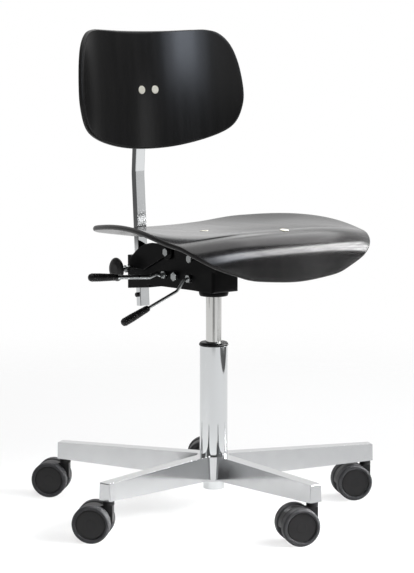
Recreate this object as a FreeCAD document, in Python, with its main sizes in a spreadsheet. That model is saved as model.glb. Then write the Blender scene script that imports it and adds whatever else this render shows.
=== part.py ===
"""Office swivel chair: moulded plywood seat and back, steel mechanism, gas column, star base, twin castors.

Frame: origin on the floor under the column axis, +Z up, the sitter faces -Y, the levers are on -X.
Lengths are millimetres, angles degrees.
"""
import math
import os

import FreeCAD
import Part
import Sketcher

V = FreeCAD.Vector
UP = V(0, 0, 1)
SIDEWAYS = V(1, 0, 0)

SIZES = {
    # Castors: twin wheels on one axle, behind a swivelling stem
    "wheel_radius": 32.5,
    "wheel_outer_face": 29.0,
    "wheel_inner_face": 10.0,
    "tread_inner_radius": 26.0,
    "tread_round": 2.5,
    "disc_recess": 2.5,
    "disc_thickness": 4.0,
    "rim_wall": 3.0,
    "wheel_hub_radius": 7.0,
    "axle_radius": 3.0,
    "axle_end_cover": 2.0,
    "castor_trail": 26.0,
    "castor_web": 16.0,
    "web_front": 8.0,
    "hood_inset": 1.5,
    "hood_low_turn": -5.0,
    "hood_high_turn": 115.0,
    "boss_front_turn": 215.0,
    "boss_rear_turn": 330.0,
    "axle_boss_radius": 10.0,
    "neck_radius": 10.0,
    "neck_height": 6.5,
    "stem_radius": 5.0,
    "stem_depth": 30.0,
    "stem_grip": 24.0,
    "running_clearance": 0.05,
    "part_gap": 0.5,
    "castor_gap": 1.8,
    "trail_left_rear": 142.0,
    "trail_right_rear": 134.0,
    "trail_right": 134.0,
    "trail_front": 156.7,
    "trail_left": 153.5,
    # Star base
    "base_tip_radius": 302.5,
    "stem_inset": 11.0,
    "star_turn": 50.6,
    "arm_rise": 5.3,
    "arm_tip_depth": 30.4,
    "arm_hub_depth": 45.0,
    "arm_tip_width": 21.0,
    "arm_hub_width": 25.0,
    "arm_draft": 3.5,
    "arm_wall": 4.0,
    "arm_edge_round": 2.0,
    "arm_end_round": 5.0,
    "hub_radius": 31.0,
    "hub_foot_radius": 27.0,
    "hub_foot_drop": 2.7,
    # Column: outer tube, guide sleeve, gas cylinder, rod and bearing
    "tube_radius": 25.0,
    "tube_wall": 3.0,
    "tube_length": 196.3,
    "tube_foot_radius": 19.0,
    "tube_foot_drop": 16.0,
    "taper_drop": 1.5,
    "floor_plate_rise": 23.0,
    "floor_plate": 8.0,
    "collar_height": 6.0,
    "collar_overhang": 1.2,
    "sleeve_length": 58.0,
    "cylinder_radius": 14.0,
    "cylinder_wall": 3.0,
    "cylinder_hidden": 137.0,
    "cylinder_out": 105.0,
    "cylinder_end": 12.0,
    "rod_radius": 5.0,
    "piston_drop": 132.0,
    "piston_length": 15.0,
    "piston_gap": 0.4,
    "bearing_radius": 15.0,
    "bearing_height": 6.0,
    "clip_radius": 9.0,
    "clip_thickness": 2.0,
    "button_radius": 4.0,
    "button_height": 8.0,
    "button_depth": 12.0,
    # Mechanism: folded steel housing under the seat
    "housing_width": 58.0,
    "housing_sheet": 3.0,
    "cylinder_in": 7.0,
    "housing_front": 36.0,
    "housing_rear": 163.0,
    "housing_front_height": 45.0,
    "housing_floor_rear": 128.0,
    "housing_rear_height": 42.0,
    "housing_corner_round": 6.0,
    "housing_ring_radius": 26.5,
    "housing_ring_height": 8.5,
    "bolt_radius": 7.0,
    "bolt_head": 8.5,
    "bolt_head_height": 6.0,
    "tension_bolt_rear": 74.0,
    "lever_axis_rise": 20.5,
    # Seat: plywood shell, carrier and pivot
    "ply": 9.0,
    "sheet_gap": 0.3,
    "seat_clearance": 22.5,
    "seat_lowest_rear": 217.5,
    "seat_long_radius": 3300.0,
    "seat_half_width": 200.0,
    "dish_rise": 34.4,
    "dish_power": 3.4,
    "dish_front_share": -0.28,
    "dish_rear": 160.0,
    "dish_length": 320.0,
    "dish_fade_most": 1.2,
    "roll_start": 183.5,
    "roll_start_sweep": 17.0,
    "roll_radius": 46.0,
    "roll_turn": 94.5,
    "seat_rear": 200.0,
    "seat_front_length": 300.0,
    "seat_rim_half": 213.0,
    "seat_margin": 14.0,
    "seat_rivet_rear": 28.0,
    "seat_rivet_front": 194.5,
    "rivet_radius": 7.5,
    "rivet_head": 1.2,
    "rivet_sunk": 0.4,
    "rivet_shank_radius": 3.0,
    "rivet_tail_radius": 6.0,
    "rivet_tail": 2.0,
    "carrier_sheet": 3.0,
    "carrier_gap": 1.0,
    "carrier_rear": 110.0,
    "carrier_lip": 11.5,
    "carrier_flange_rear": 66.0,
    "carrier_flange_front": 52.0,
    "carrier_flange_rear_drop": 9.0,
    "carrier_flange_front_drop": 19.0,
    "seat_pivot_rear": 19.0,
    "seat_pivot_rise": 58.0,
    "pivot_radius": 5.0,
    "pivot_head_radius": 7.5,
    "pivot_head_height": 4.5,
    # Back: carrier with arched cheeks, clamp block, bar, bracket, shell
    "back_pivot_rear": 94.5,
    "back_pivot_rise": 63.0,
    "cheek_sheet": 3.0,
    "cheek_gap": 2.0,
    "cheek_lobe": 14.0,
    "arch_crown_back": 46.5,
    "arch_crown_drop": 1.0,
    "arch_shoulder_back": 91.5,
    "arch_shoulder_drop": 3.0,
    "arch_tail_back": 118.5,
    "arch_tail_drop": 27.0,
    "arch_foot_drop": 39.0,
    "bridge_back": 89.5,
    "bridge_depth": 22.0,
    "bridge_height": 14.0,
    "block_half_width": 20.0,
    "block_gap": 4.0,
    "block_length": 69.0,
    "block_drop": 81.0,
    "block_height": 63.0,
    "block_slope": 8.0,
    "bar_width": 21.0,
    "bar_depth": 13.0,
    "bar_fit": 0.35,
    "bar_inset": 21.6,
    "bar_hang": 32.0,
    "bar_lean": 3.5,
    "bar_bend_rise": 247.0,
    "bar_top_lean": -3.7,
    "bar_rise": 437.0,
    "bar_bend_radius": 120.0,
    "bar_edge_round": 1.2,
    "stop_rise": 21.0,
    "stop_radius": 4.3,
    "stop_length": 5.0,
    "back_setback": 21.52,
    "back_middle_drop": 32.0,
    "back_lean": 0.0926,
    "back_wrap": 65.8,
    "back_wrap_power": 2.2,
    "back_belly": 2.3,
    "back_half_width": 182.0,
    "back_rise": 105.0,
    "back_drop": 111.0,
    "back_rivet_drop": 3.0,
    "back_rivet_spacing": 30.0,
    "bracket_width": 74.0,
    "bracket_height": 80.0,
    "socket_wall": 4.0,
    "socket_side": 12.0,
    # Controls: knob and two levers
    "knob_radius": 22.0,
    "knob_thickness": 12.0,
    "knob_reach": 58.0,
    "knob_rise": 39.5,
    "spindle_radius": 4.0,
    "tilt_lever_radius": 4.0,
    "lift_lever_radius": 2.8,
    "grip_length": 61.0,
    "grip_radius": 7.4,
    "grip_neck_radius": 5.4,
    "grip_overlap": 22.0,
    "tilt_lever_rear": 107.0,
    "lift_lever_rear": 33.6,
    "tilt_lever_reach": 198.0,
    "tilt_grip_rise": 8.0,
    "lift_lever_reach": 174.0,
    "lift_grip_drop": 68.5,
    "lever_bend_radius": 9.0,
    "lever_shaft_out": 10.0,
    "tilt_crank_out": 20.0,
    "tilt_crank_rise": 4.0,
    "tilt_run_out": 37.0,
    "tilt_run_drop": 1.0,
    "tilt_run_forward": 3.0,
    "lift_drop_out": 25.0,
    "lift_drop": 21.0,
    "lift_run_back": 4.0,
    "finger_gap": 1.0,
}

# Heights that stack up from the floor: wheels, arms, column, mechanism
STACKED = {
    "arm_top_height": "2 * wheel_radius + arm_rise + arm_tip_depth",
    "hub_foot_height": "arm_top_height - arm_hub_depth - hub_foot_drop",
    "tube_foot_height": "hub_foot_height - tube_foot_drop",
    "floor_plate_top": "tube_foot_height + floor_plate_rise",
    "tube_top_height": "arm_top_height + tube_length",
    "cylinder_foot_height": "tube_top_height - cylinder_hidden",
    "cylinder_top_height": "tube_top_height + cylinder_out",
    "piston_height": "cylinder_top_height - piston_drop",
    "housing_bottom": "cylinder_top_height - cylinder_in",
}

doc = FreeCAD.newDocument("swivel_chair")
sheet = doc.addObject("Spreadsheet::Sheet", "Sizes")
entries = [(alias, str(number)) for alias, number in SIZES.items()]
entries += [(alias, "=" + formula) for alias, formula in STACKED.items()]
for row, (alias, content) in enumerate(entries, start=1):
    sheet.set("A%d" % row, alias)
    sheet.set("B%d" % row, content)
    sheet.setAlias("B%d" % row, alias)
doc.recompute()

NODES = {}


def size(alias):
    """Current value of a named size."""
    return float(sheet.get(alias))


def cell(expression):
    """Turn size names in an expression into references to the sheet, and work out its value."""
    bound = []
    for word in expression.split():
        bound.append("Sizes." + word if word in SIZES or word in STACKED else word)
    value = sheet.evalExpression(" ".join(bound))
    return " ".join(bound), float(value)


def keep(node, piece):
    """Give a finished piece its node name."""
    piece.Label = node
    NODES[node] = piece
    return piece


def datum(body, role):
    """One of a body's own origin planes or axes, by role."""
    return [feature for feature in body.Origin.OriginFeatures if feature.Role == role][0]


def new_sketch(body, name, role):
    """Sketch on one of the body's own origin planes."""
    sketch = body.newObject("Sketcher::SketchObject", name)
    sketch.AttachmentSupport = [(datum(body, role), "")]
    sketch.MapMode = "FlatFace"
    return sketch


def pin_point(sketch, line, end, across, along):
    """Hold a sketch point at two distances from the sketch's origin, each bound to the sheet."""
    for kind, axis, expression in (("DistanceX", -2, across), ("DistanceY", -1, along)):
        bound, value = cell(expression)
        if abs(value) < 1e-9:
            sketch.addConstraint(Sketcher.Constraint("PointOnObject", line, end, axis))
            continue
        index = sketch.addConstraint(Sketcher.Constraint(kind, -1, 1, line, end, value))
        sketch.setExpression("Constraints[%d]" % index, bound)


def outline(sketch, corners):
    """Closed outline of straight lines through corners given as pairs of expressions."""
    spots = [V(cell(a)[1], cell(b)[1], 0) for a, b in corners]
    count = len(spots)
    lines = []
    for i in range(count):
        lines.append(sketch.addGeometry(Part.LineSegment(spots[i], spots[(i + 1) % count])))
    for i in range(count):
        following = lines[(i + 1) % count]
        sketch.addConstraint(Sketcher.Constraint("Coincident", lines[i], 2, following, 1))
    for i in range(count):
        pin_point(sketch, lines[i], 1, *corners[i])


def circle(sketch, radius, across="0", along="0"):
    """Circle with its radius and middle bound to the sheet."""
    bound, value = cell(radius)
    spot = V(cell(across)[1], cell(along)[1], 0)
    index = sketch.addGeometry(Part.Circle(spot, UP, value))
    constraint = sketch.addConstraint(Sketcher.Constraint("Radius", index, value))
    sketch.setExpression("Constraints[%d]" % constraint, bound)
    pin_point(sketch, index, 3, across, along)


def turned(node, corners):
    """Body of revolution about its own Z, from corners given as (radius, height)."""
    body = doc.addObject("PartDesign::Body", node + "_body")
    sketch = new_sketch(body, node + "_profile", "XZ_Plane")
    outline(sketch, corners)
    spin = body.newObject("PartDesign::Revolution", node + "_turn")
    spin.Profile = sketch
    spin.ReferenceAxis = (sketch, ["V_Axis"])
    spin.Angle = 360
    body.Tip = spin
    return keep(node, body)


def featured(node, shape):
    """Piece whose shape is worked out below from the named sizes."""
    piece = doc.addObject("Part::Feature", node + "_shape")
    piece.Shape = shape
    return keep(node, piece)


def turn(axis, degrees):
    """Rotation about an axis."""
    return FreeCAD.Rotation(axis, degrees)


def lying(middle, direction):
    """Placement that stands a turned piece's axis along a direction."""
    return FreeCAD.Placement(middle, FreeCAD.Rotation(UP, direction))


def rod_between(start, end, radius):
    """Round bar from one point to another."""
    along = end.sub(start)
    return Part.makeCylinder(radius, along.Length, start, along)


def hexagon(middle, direction, across_corners, height):
    """Hexagonal head standing on a point."""
    corners = []
    for i in range(7):
        angle = math.radians(60 * i)
        corners.append(V(across_corners * math.cos(angle), across_corners * math.sin(angle), 0))
    head = Part.Face(Part.makePolygon(corners)).extrude(V(0, 0, height))
    head.Placement = lying(middle, direction)
    return head


def bent_rod(points, bend, radius):
    """Round rod along straight runs joined by tangent arcs."""
    edges = []
    start = points[0]
    for before, corner, after in zip(points, points[1:], points[2:]):
        inward = (before.sub(corner)).normalize()
        onward = (after.sub(corner)).normalize()
        half = inward.getAngle(onward) / 2
        reach = bend / math.tan(half)
        arc_start = corner.add(inward * reach)
        arc_end = corner.add(onward * reach)
        middle = (inward.add(onward)).normalize()
        arc_middle = corner.add(middle * (bend / math.sin(half) - bend))
        edges.append(Part.LineSegment(start, arc_start).toShape())
        edges.append(Part.Arc(arc_start, arc_middle, arc_end).toShape())
        start = arc_end
    edges.append(Part.LineSegment(start, points[-1]).toShape())
    path = Part.Wire(edges)
    ring = Part.Wire(Part.makeCircle(radius, points[0], points[1].sub(points[0])))
    return path.makePipeShell([ring], True, False)


def plate(points, thickness, at):
    """Flat plate in the fore and aft plane: (rear, height) points, from one sideways place to the next."""
    corners = [V(at, rear, height) for rear, height in points]
    return Part.Face(Part.makePolygon(corners + corners[:1])).extrude(V(thickness, 0, 0))


def upright_edges(shape, direction):
    """Straight edges of a shape that run along a direction."""
    found = []
    for edge in shape.Edges:
        straight = edge.Curve.TypeId == "Part::GeomLine"
        if straight and abs(edge.tangentAt(edge.FirstParameter).dot(direction)) > 0.999:
            found.append(edge)
    return found


# Castors


def castor_spot(arm):
    """Floor point under one castor's stem."""
    angle = math.radians(size("star_turn") + 72 * arm)
    reach = size("base_tip_radius") - size("stem_inset")
    return V(reach * math.cos(angle), reach * math.sin(angle), 0)


def wheel_rim(node):
    """Black wheel body: a recessed disc, a wall under the tread and a bored hub."""
    face = "wheel_outer_face - disc_recess"
    back = face + " - disc_thickness"
    return turned(node, [
        ("axle_radius + running_clearance", "wheel_inner_face"),
        ("wheel_hub_radius", "wheel_inner_face"),
        ("wheel_hub_radius", back),
        ("tread_inner_radius - rim_wall", back),
        ("tread_inner_radius - rim_wall", "wheel_inner_face"),
        ("tread_inner_radius", "wheel_inner_face"),
        ("tread_inner_radius", face),
        ("0", face),
        ("0", face + " - axle_end_cover"),
        ("axle_radius + running_clearance", face + " - axle_end_cover"),
    ])


def wheel_tread(node):
    """Grey tyre round the rim, with broken edges."""
    return turned(node, [
        ("tread_inner_radius", "wheel_inner_face"),
        ("wheel_radius - tread_round", "wheel_inner_face"),
        ("wheel_radius", "wheel_inner_face + tread_round"),
        ("wheel_radius", "wheel_outer_face - tread_round"),
        ("wheel_radius - tread_round", "wheel_outer_face"),
        ("tread_inner_radius", "wheel_outer_face"),
    ])


def castor_housing(node):
    """Web between the wheels with a rounded hood, an axle boss and a neck round the stem."""
    trail = size("castor_trail")
    axle = size("wheel_radius")
    hood = axle - size("hood_inset")
    boss = size("axle_boss_radius")
    neck = size("neck_radius")
    neck_top = size("arm_top_height") - size("arm_tip_depth") - size("castor_gap")
    neck_foot = neck_top - size("neck_height")
    web = size("castor_web")

    def round_axle(radius, degrees):
        angle = math.radians(degrees)
        return V(trail + radius * math.cos(angle), 0, axle + radius * math.sin(angle))

    low_turn = size("hood_low_turn")
    high_turn = size("hood_high_turn")
    front_turn = size("boss_front_turn")
    rear_turn = size("boss_rear_turn")
    hood_foot = round_axle(hood, low_turn)
    hood_crown = round_axle(hood, (low_turn + high_turn) / 2)
    hood_end = round_axle(hood, high_turn)
    boss_front = round_axle(boss, front_turn)
    boss_low = round_axle(boss, (front_turn + rear_turn) / 2)
    boss_rear = round_axle(boss, rear_turn)
    web_front = size("web_front")
    corner = V(web_front, 0, neck_foot)
    front_top = V(-web_front, 0, neck_foot)
    front_foot = V(-web_front, 0, axle)
    edges = [
        Part.Arc(hood_foot, hood_crown, hood_end).toShape(),
        Part.LineSegment(hood_end, corner).toShape(),
        Part.LineSegment(corner, front_top).toShape(),
        Part.LineSegment(front_top, front_foot).toShape(),
        Part.LineSegment(front_foot, boss_front).toShape(),
        Part.Arc(boss_front, boss_low, boss_rear).toShape(),
        Part.LineSegment(boss_rear, hood_foot).toShape(),
    ]
    body = Part.Face(Part.Wire(edges)).extrude(V(0, web, 0))
    body.translate(V(0, -web / 2, 0))
    body = body.fuse(Part.makeCylinder(neck, size("neck_height"), V(0, 0, neck_foot))).removeSplitter()
    bore = size("stem_radius") + size("running_clearance")
    stem_foot = neck_top - size("stem_depth") - size("part_gap")
    body = body.cut(Part.makeCylinder(bore, neck_top, V(0, 0, stem_foot)))
    body = body.cut(Part.makeCylinder(size("axle_radius"), 2 * web, V(trail, -web, axle), V(0, 1, 0)))
    return featured(node, body)


def castor_axle(node):
    """Steel pin through the web into both hubs."""
    return turned(node, [
        ("0", "0"),
        ("axle_radius", "0"),
        ("axle_radius", "2 * ( wheel_outer_face - disc_recess - axle_end_cover - part_gap )"),
        ("0", "2 * ( wheel_outer_face - disc_recess - axle_end_cover - part_gap )"),
    ])


# The castors in the order of their arms, counted from the first arm's turn
CASTORS = ["left_rear", "right_rear", "right", "front", "left"]

for arm, name in enumerate(CASTORS):
    spot = castor_spot(arm)
    facing = turn(UP, size("trail_" + name))
    hub = spot.add(facing.multVec(V(size("castor_trail"), 0, size("wheel_radius"))))
    sideways = facing.multVec(V(0, 1, 0))
    castor_housing("castor_%s_housing" % name).Placement = FreeCAD.Placement(spot, facing)
    half_axle = size("wheel_outer_face") - size("disc_recess") - size("axle_end_cover") - size("part_gap")
    castor_axle("castor_%s_axle" % name).Placement = lying(hub.sub(sideways * half_axle), sideways)
    for side, outward in (("a", sideways), ("b", sideways * -1)):
        wheel_rim("castor_%s_rim_%s" % (name, side)).Placement = lying(hub, outward)
        wheel_tread("castor_%s_tread_%s" % (name, side)).Placement = lying(hub, outward)

stems = []
neck_top = size("arm_top_height") - size("arm_tip_depth") - size("castor_gap")
stem_length = size("stem_depth") + size("stem_grip") + size("castor_gap")
for arm in range(5):
    stem_spot = castor_spot(arm).add(V(0, 0, neck_top - size("stem_depth")))
    stems.append(Part.makeCylinder(size("stem_radius"), stem_length, stem_spot))
featured("castor_stems", Part.makeCompound(stems))

# Star base: a turned hub, one cast arm hollowed from below, five times round


def arm_section(body, name, depth, width, reach, inset):
    """Trapezium across an arm, drawn on a plane square to the arm at a given reach."""
    sketch = new_sketch(body, name, "YZ_Plane")
    sketch.setExpression("AttachmentOffset.Base.z", cell(reach)[0])
    half_top = "( " + width + " ) / 2 - " + inset
    half_foot = half_top + " + arm_draft / 2"
    crown = "arm_top_height - " + inset
    foot = "arm_top_height - " + depth if inset == "0" else "arm_top_height - " + depth + " - part_gap"
    outline(sketch, [
        ("- 1 * ( " + half_top + " )", crown),
        ("- 1 * ( " + half_foot + " )", foot),
        (half_foot, foot),
        (half_top, crown),
    ])
    return sketch


base = doc.addObject("PartDesign::Body", "star_base_body")
hub_sketch = new_sketch(base, "hub_profile", "XZ_Plane")
outline(hub_sketch, [
    ("0", "hub_foot_height"),
    ("hub_foot_radius", "hub_foot_height"),
    ("hub_radius", "arm_top_height - arm_hub_depth + arm_wall"),
    ("hub_radius", "arm_top_height - arm_edge_round"),
    ("hub_radius - arm_edge_round", "arm_top_height"),
    ("0", "arm_top_height"),
])
hub_turn = base.newObject("PartDesign::Revolution", "hub_turn")
hub_turn.Profile = hub_sketch
hub_turn.ReferenceAxis = (hub_sketch, ["V_Axis"])
hub_turn.Angle = 360
doc.recompute()

arm_loft = base.newObject("PartDesign::AdditiveLoft", "arm_loft")
arm_loft.Profile = arm_section(base, "arm_root", "arm_hub_depth", "arm_hub_width", "hub_foot_radius / 2", "0")
arm_loft.Sections = [arm_section(base, "arm_end", "arm_tip_depth", "arm_tip_width", "base_tip_radius", "0")]
arm_loft.Ruled = True
doc.recompute()

hollow = base.newObject("PartDesign::SubtractiveLoft", "arm_hollow")
hollow.Profile = arm_section(base, "hollow_root", "arm_hub_depth", "arm_hub_width", "hub_radius + arm_wall",
                             "arm_wall")
hollow_end = "base_tip_radius - 2 * stem_inset - arm_wall"
hollow.Sections = [arm_section(base, "hollow_end", "arm_hub_depth", "arm_tip_width", hollow_end, "arm_wall")]
hollow.Ruled = True
doc.recompute()

socket_sketch = new_sketch(base, "socket_profile", "XY_Plane")
circle(socket_sketch, "stem_radius", "base_tip_radius - stem_inset", "0")
socket = base.newObject("PartDesign::Pocket", "stem_socket")
socket.Profile = socket_sketch
socket.Reversed = True
socket.setExpression("Length", cell("arm_top_height - arm_tip_depth + stem_grip")[0])
doc.recompute()

star = base.newObject("PartDesign::PolarPattern", "five_arms")
star.Originals = [arm_loft, hollow, socket]
star.Axis = (datum(base, "Z_Axis"), [""])
star.Angle = 360
star.Occurrences = 5
base.Tip = star
doc.recompute()

bore_sketch = new_sketch(base, "bore_profile", "XZ_Plane")
outline(bore_sketch, [
    ("0", "hub_foot_height - part_gap"),
    ("tube_radius - taper_drop", "hub_foot_height - part_gap"),
    ("tube_radius - taper_drop", "hub_foot_height"),
    ("tube_radius", "arm_top_height"),
    ("tube_radius", "arm_top_height + part_gap"),
    ("0", "arm_top_height + part_gap"),
])
bore = base.newObject("PartDesign::Groove", "column_bore")
bore.Profile = bore_sketch
bore.ReferenceAxis = (bore_sketch, ["V_Axis"])
bore.Angle = 360
base.Tip = bore
doc.recompute()

arm_corners = []
tip = size("base_tip_radius")
for number, edge in enumerate(bore.Shape.Edges, start=1):
    middle = edge.CenterOfMass
    flat_reach = math.hypot(middle.x, middle.y)
    level = abs(middle.z - size("arm_top_height")) < 0.01
    on_arm = edge.Length > size("arm_tip_width") * 0.9 and flat_reach > size("hub_radius") * 2
    upper = middle.z > size("arm_top_height") / 2
    at_end = abs(flat_reach - tip) < size("arm_end_round") and upper and not level
    if edge.Curve.TypeId == "Part::GeomLine" and ((level and on_arm) or (at_end and edge.Length > 25)):
        arm_corners.append("Edge%d" % number)
rounding = base.newObject("PartDesign::Fillet", "arm_rounding")
rounding.Base = (bore, arm_corners)
rounding.setExpression("Radius", cell("arm_edge_round")[0])
base.Tip = rounding
base.Placement = FreeCAD.Placement(V(0, 0, 0), turn(UP, size("star_turn")))
keep("star_base", base)

# Column

turned("column_tube", [
    ("rod_radius + part_gap", "floor_plate_top - floor_plate"),
    ("clip_radius + part_gap", "floor_plate_top - floor_plate"),
    ("clip_radius + part_gap", "tube_foot_height"),
    ("tube_foot_radius", "tube_foot_height"),
    ("tube_foot_radius", "hub_foot_height"),
    ("tube_radius - taper_drop", "hub_foot_height"),
    ("tube_radius", "arm_top_height"),
    ("tube_radius", "tube_top_height"),
    ("tube_radius - tube_wall", "tube_top_height"),
    ("tube_radius - tube_wall", "floor_plate_top + bearing_height"),
    ("bearing_radius + part_gap", "floor_plate_top + bearing_height"),
    ("bearing_radius + part_gap", "floor_plate_top"),
    ("rod_radius + part_gap", "floor_plate_top"),
])
turned("column_collar", [
    ("cylinder_radius + running_clearance", "tube_top_height - sleeve_length"),
    ("tube_radius - tube_wall", "tube_top_height - sleeve_length"),
    ("tube_radius - tube_wall", "tube_top_height"),
    ("tube_radius + collar_overhang", "tube_top_height"),
    ("tube_radius + collar_overhang", "tube_top_height + collar_height / 2"),
    ("tube_radius - collar_overhang", "tube_top_height + collar_height"),
    ("cylinder_radius + running_clearance", "tube_top_height + collar_height"),
])
turned("gas_cylinder", [
    ("rod_radius + running_clearance", "cylinder_foot_height"),
    ("cylinder_radius", "cylinder_foot_height"),
    ("cylinder_radius", "cylinder_top_height"),
    ("button_radius + running_clearance", "cylinder_top_height"),
    ("button_radius + running_clearance", "cylinder_top_height - button_depth"),
    ("0", "cylinder_top_height - button_depth"),
    ("0", "cylinder_top_height - button_depth - cylinder_end"),
    ("cylinder_radius - cylinder_wall", "cylinder_top_height - button_depth - cylinder_end"),
    ("cylinder_radius - cylinder_wall", "cylinder_foot_height + cylinder_end"),
    ("rod_radius + running_clearance", "cylinder_foot_height + cylinder_end"),
])
turned("gas_piston_rod", [
    ("0", "tube_foot_height + clip_thickness"),
    ("rod_radius", "tube_foot_height + clip_thickness"),
    ("rod_radius", "floor_plate_top + bearing_height"),
    ("bearing_radius - tube_wall", "floor_plate_top + bearing_height"),
    ("bearing_radius - tube_wall", "floor_plate_top + bearing_height + clip_thickness"),
    ("rod_radius", "floor_plate_top + bearing_height + clip_thickness"),
    ("rod_radius", "piston_height"),
    ("cylinder_radius - cylinder_wall - piston_gap", "piston_height"),
    ("cylinder_radius - cylinder_wall - piston_gap", "piston_height + piston_length"),
    ("0", "piston_height + piston_length"),
])
turned("thrust_bearing", [
    ("rod_radius", "floor_plate_top + running_clearance"),
    ("bearing_radius", "floor_plate_top + running_clearance"),
    ("bearing_radius", "floor_plate_top + bearing_height"),
    ("rod_radius", "floor_plate_top + bearing_height"),
])
turned("retaining_clip", [
    ("rod_radius", "floor_plate_top - floor_plate - running_clearance - clip_thickness"),
    ("clip_radius", "floor_plate_top - floor_plate - running_clearance - clip_thickness"),
    ("clip_radius", "floor_plate_top - floor_plate - running_clearance"),
    ("rod_radius", "floor_plate_top - floor_plate - running_clearance"),
])
turned("gas_valve_button", [
    ("0", "cylinder_top_height - button_depth + button_height / 2"),
    ("button_radius", "cylinder_top_height - button_depth + button_height / 2"),
    ("button_radius", "cylinder_top_height + button_height"),
    ("0", "cylinder_top_height + button_height"),
])
turned("housing_ring", [
    ("cylinder_radius", "housing_bottom - housing_ring_height"),
    ("housing_ring_radius - taper_drop", "housing_bottom - housing_ring_height"),
    ("housing_ring_radius", "housing_bottom - housing_ring_height / 2"),
    ("housing_ring_radius", "housing_bottom"),
    ("cylinder_radius", "housing_bottom"),
])

# Mechanism housing: a folded channel with tall ears for the two pivots

half_housing = size("housing_width") / 2
skin = size("housing_sheet")
low = size("housing_bottom")
front = -size("housing_front")
rear = size("housing_rear")
front_top = low + size("housing_front_height")
seat_pivot = V(0, size("seat_pivot_rear"), low + size("seat_pivot_rise"))
back_pivot = V(0, size("back_pivot_rear"), low + size("back_pivot_rise"))
lever_height = low + size("lever_axis_rise")
pivot_room = size("pivot_radius") + size("running_clearance")
ear = size("pivot_head_radius") + skin

wall_outline = [
    (front, low),
    (size("housing_ring_radius") + skin, low),
    (rear, low - skin),
    (rear, low + size("housing_rear_height")),
    (back_pivot.y + ear, back_pivot.z + ear),
    (back_pivot.y - ear, back_pivot.z + ear),
    (back_pivot.y - 2 * ear, back_pivot.z - ear),
    (seat_pivot.y + 2 * ear, seat_pivot.z - ear),
    (seat_pivot.y + ear, seat_pivot.z + ear),
    (seat_pivot.y - ear, seat_pivot.z + ear),
    (front, front_top),
]
housing = plate(wall_outline, 2 * half_housing, -half_housing)
front_corners = []
for edge in upright_edges(housing, UP) + upright_edges(housing, SIDEWAYS):
    at_front = abs(edge.CenterOfMass.y - front) < 0.01
    if at_front and edge.CenterOfMass.z < front_top - skin:
        front_corners.append(edge)
housing = housing.makeFillet(size("housing_corner_round"), front_corners)
inside = half_housing - skin
whole = rear - front
cavity = Part.makeBox(2 * inside, whole, whole, V(-inside, front + skin, low + skin))
floor_end = Part.makeBox(2 * inside, whole, whole, V(-inside, size("housing_floor_rear"), low - skin))
housing = housing.cut([cavity, floor_end])
housing = housing.cut(Part.makeCylinder(size("cylinder_radius"), 2 * skin, V(0, 0, low - skin / 2)))
across = 4 * half_housing
tension_spot = V(0, size("tension_bolt_rear"), lever_height)
lift_spot = V(0, size("lift_lever_rear"), lever_height)
tilt_spot = V(0, size("tilt_lever_rear"), lever_height)
lift_room = size("lift_lever_radius") + size("running_clearance")
tilt_room = size("tilt_lever_radius") + size("running_clearance")
holes = [(seat_pivot, pivot_room), (back_pivot, pivot_room), (tension_spot, size("bolt_radius")),
         (lift_spot, lift_room), (tilt_spot, tilt_room)]
for spot, radius in holes:
    housing = housing.cut(Part.makeCylinder(radius, across, V(-across / 2, spot.y, spot.z), SIDEWAYS))
featured("mechanism_housing", housing)


def through_bolt(spot, half_length, radius, head_radius, head_height):
    """Bolt across the chair with a hexagon at each end."""
    shank = rod_between(V(-half_length, spot.y, spot.z), V(half_length, spot.y, spot.z), radius)
    near = hexagon(V(-half_length, spot.y, spot.z), V(-1, 0, 0), head_radius, head_height)
    far = hexagon(V(half_length, spot.y, spot.z), SIDEWAYS, head_radius, head_height)
    return shank.fuse([near, far]).removeSplitter()


featured("tension_bolt", through_bolt(tension_spot, half_housing, size("bolt_radius"), size("bolt_head"),
                                      size("bolt_head_height")))

# Formed sheets: a surface given by a formula, thickened and cut to a smooth rim


def under(point, run, aside, depth):
    """Point of a formula surface pushed a depth below its face, square to it."""
    step = 0.5
    along = point(run + step, aside).sub(point(run - step, aside))
    over = point(run, aside + step).sub(point(run, aside - step))
    return point(run, aside).sub(along.cross(over).normalize() * depth)


def spaced(low_end, high_end, count):
    """Evenly spaced values with both ends."""
    return [low_end + (high_end - low_end) * i / (count - 1) for i in range(count)]


def formed_surface(point, runs, asides, depth):
    """Smooth surface through a grid of formula points at one depth."""
    surface = Part.BSplineSurface()
    surface.interpolate([[under(point, run, aside, depth) for aside in asides] for run in runs])
    return surface


def closed_solid(faces):
    """Solid from faces that meet along their edges."""
    shell = Part.Shell(faces)
    shell.sewShape()
    solid = Part.Solid(shell)
    if solid.Volume < 0:
        solid.reverse()
    return solid


def rimmed_sheet(point, runs, asides, rim, thickness):
    """Sheet cut to a closed smooth rim of (run, aside) places."""
    faces = []
    for depth in (0.0, thickness):
        surface = formed_surface(point, runs, asides, depth)
        spots = []
        for run, aside in rim:
            spots.append(FreeCAD.Base.Vector2d(*surface.parameter(under(point, run, aside, depth))))
        curve = Part.Geom2d.BSplineCurve2d()
        curve.interpolate(spots, True)
        face = Part.Face(Part.Wire([curve.toShape(surface)]))
        face.validate()
        faces.append(face)
    side = Part.makeRuledSurface(faces[0].Edges[0], faces[1].Edges[0])
    return closed_solid(faces + side.Faces)


def pressed_sheet(point, runs, asides, top, bottom):
    """Four-sided sheet between two depths."""
    faces = [formed_surface(point, runs, asides, depth).toShape() for depth in (top, bottom)]
    sides = []
    for upper, lower in zip(faces[0].Edges, faces[1].Edges):
        sides += Part.makeRuledSurface(upper, lower).Faces
    return closed_solid(faces + sides)


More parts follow.
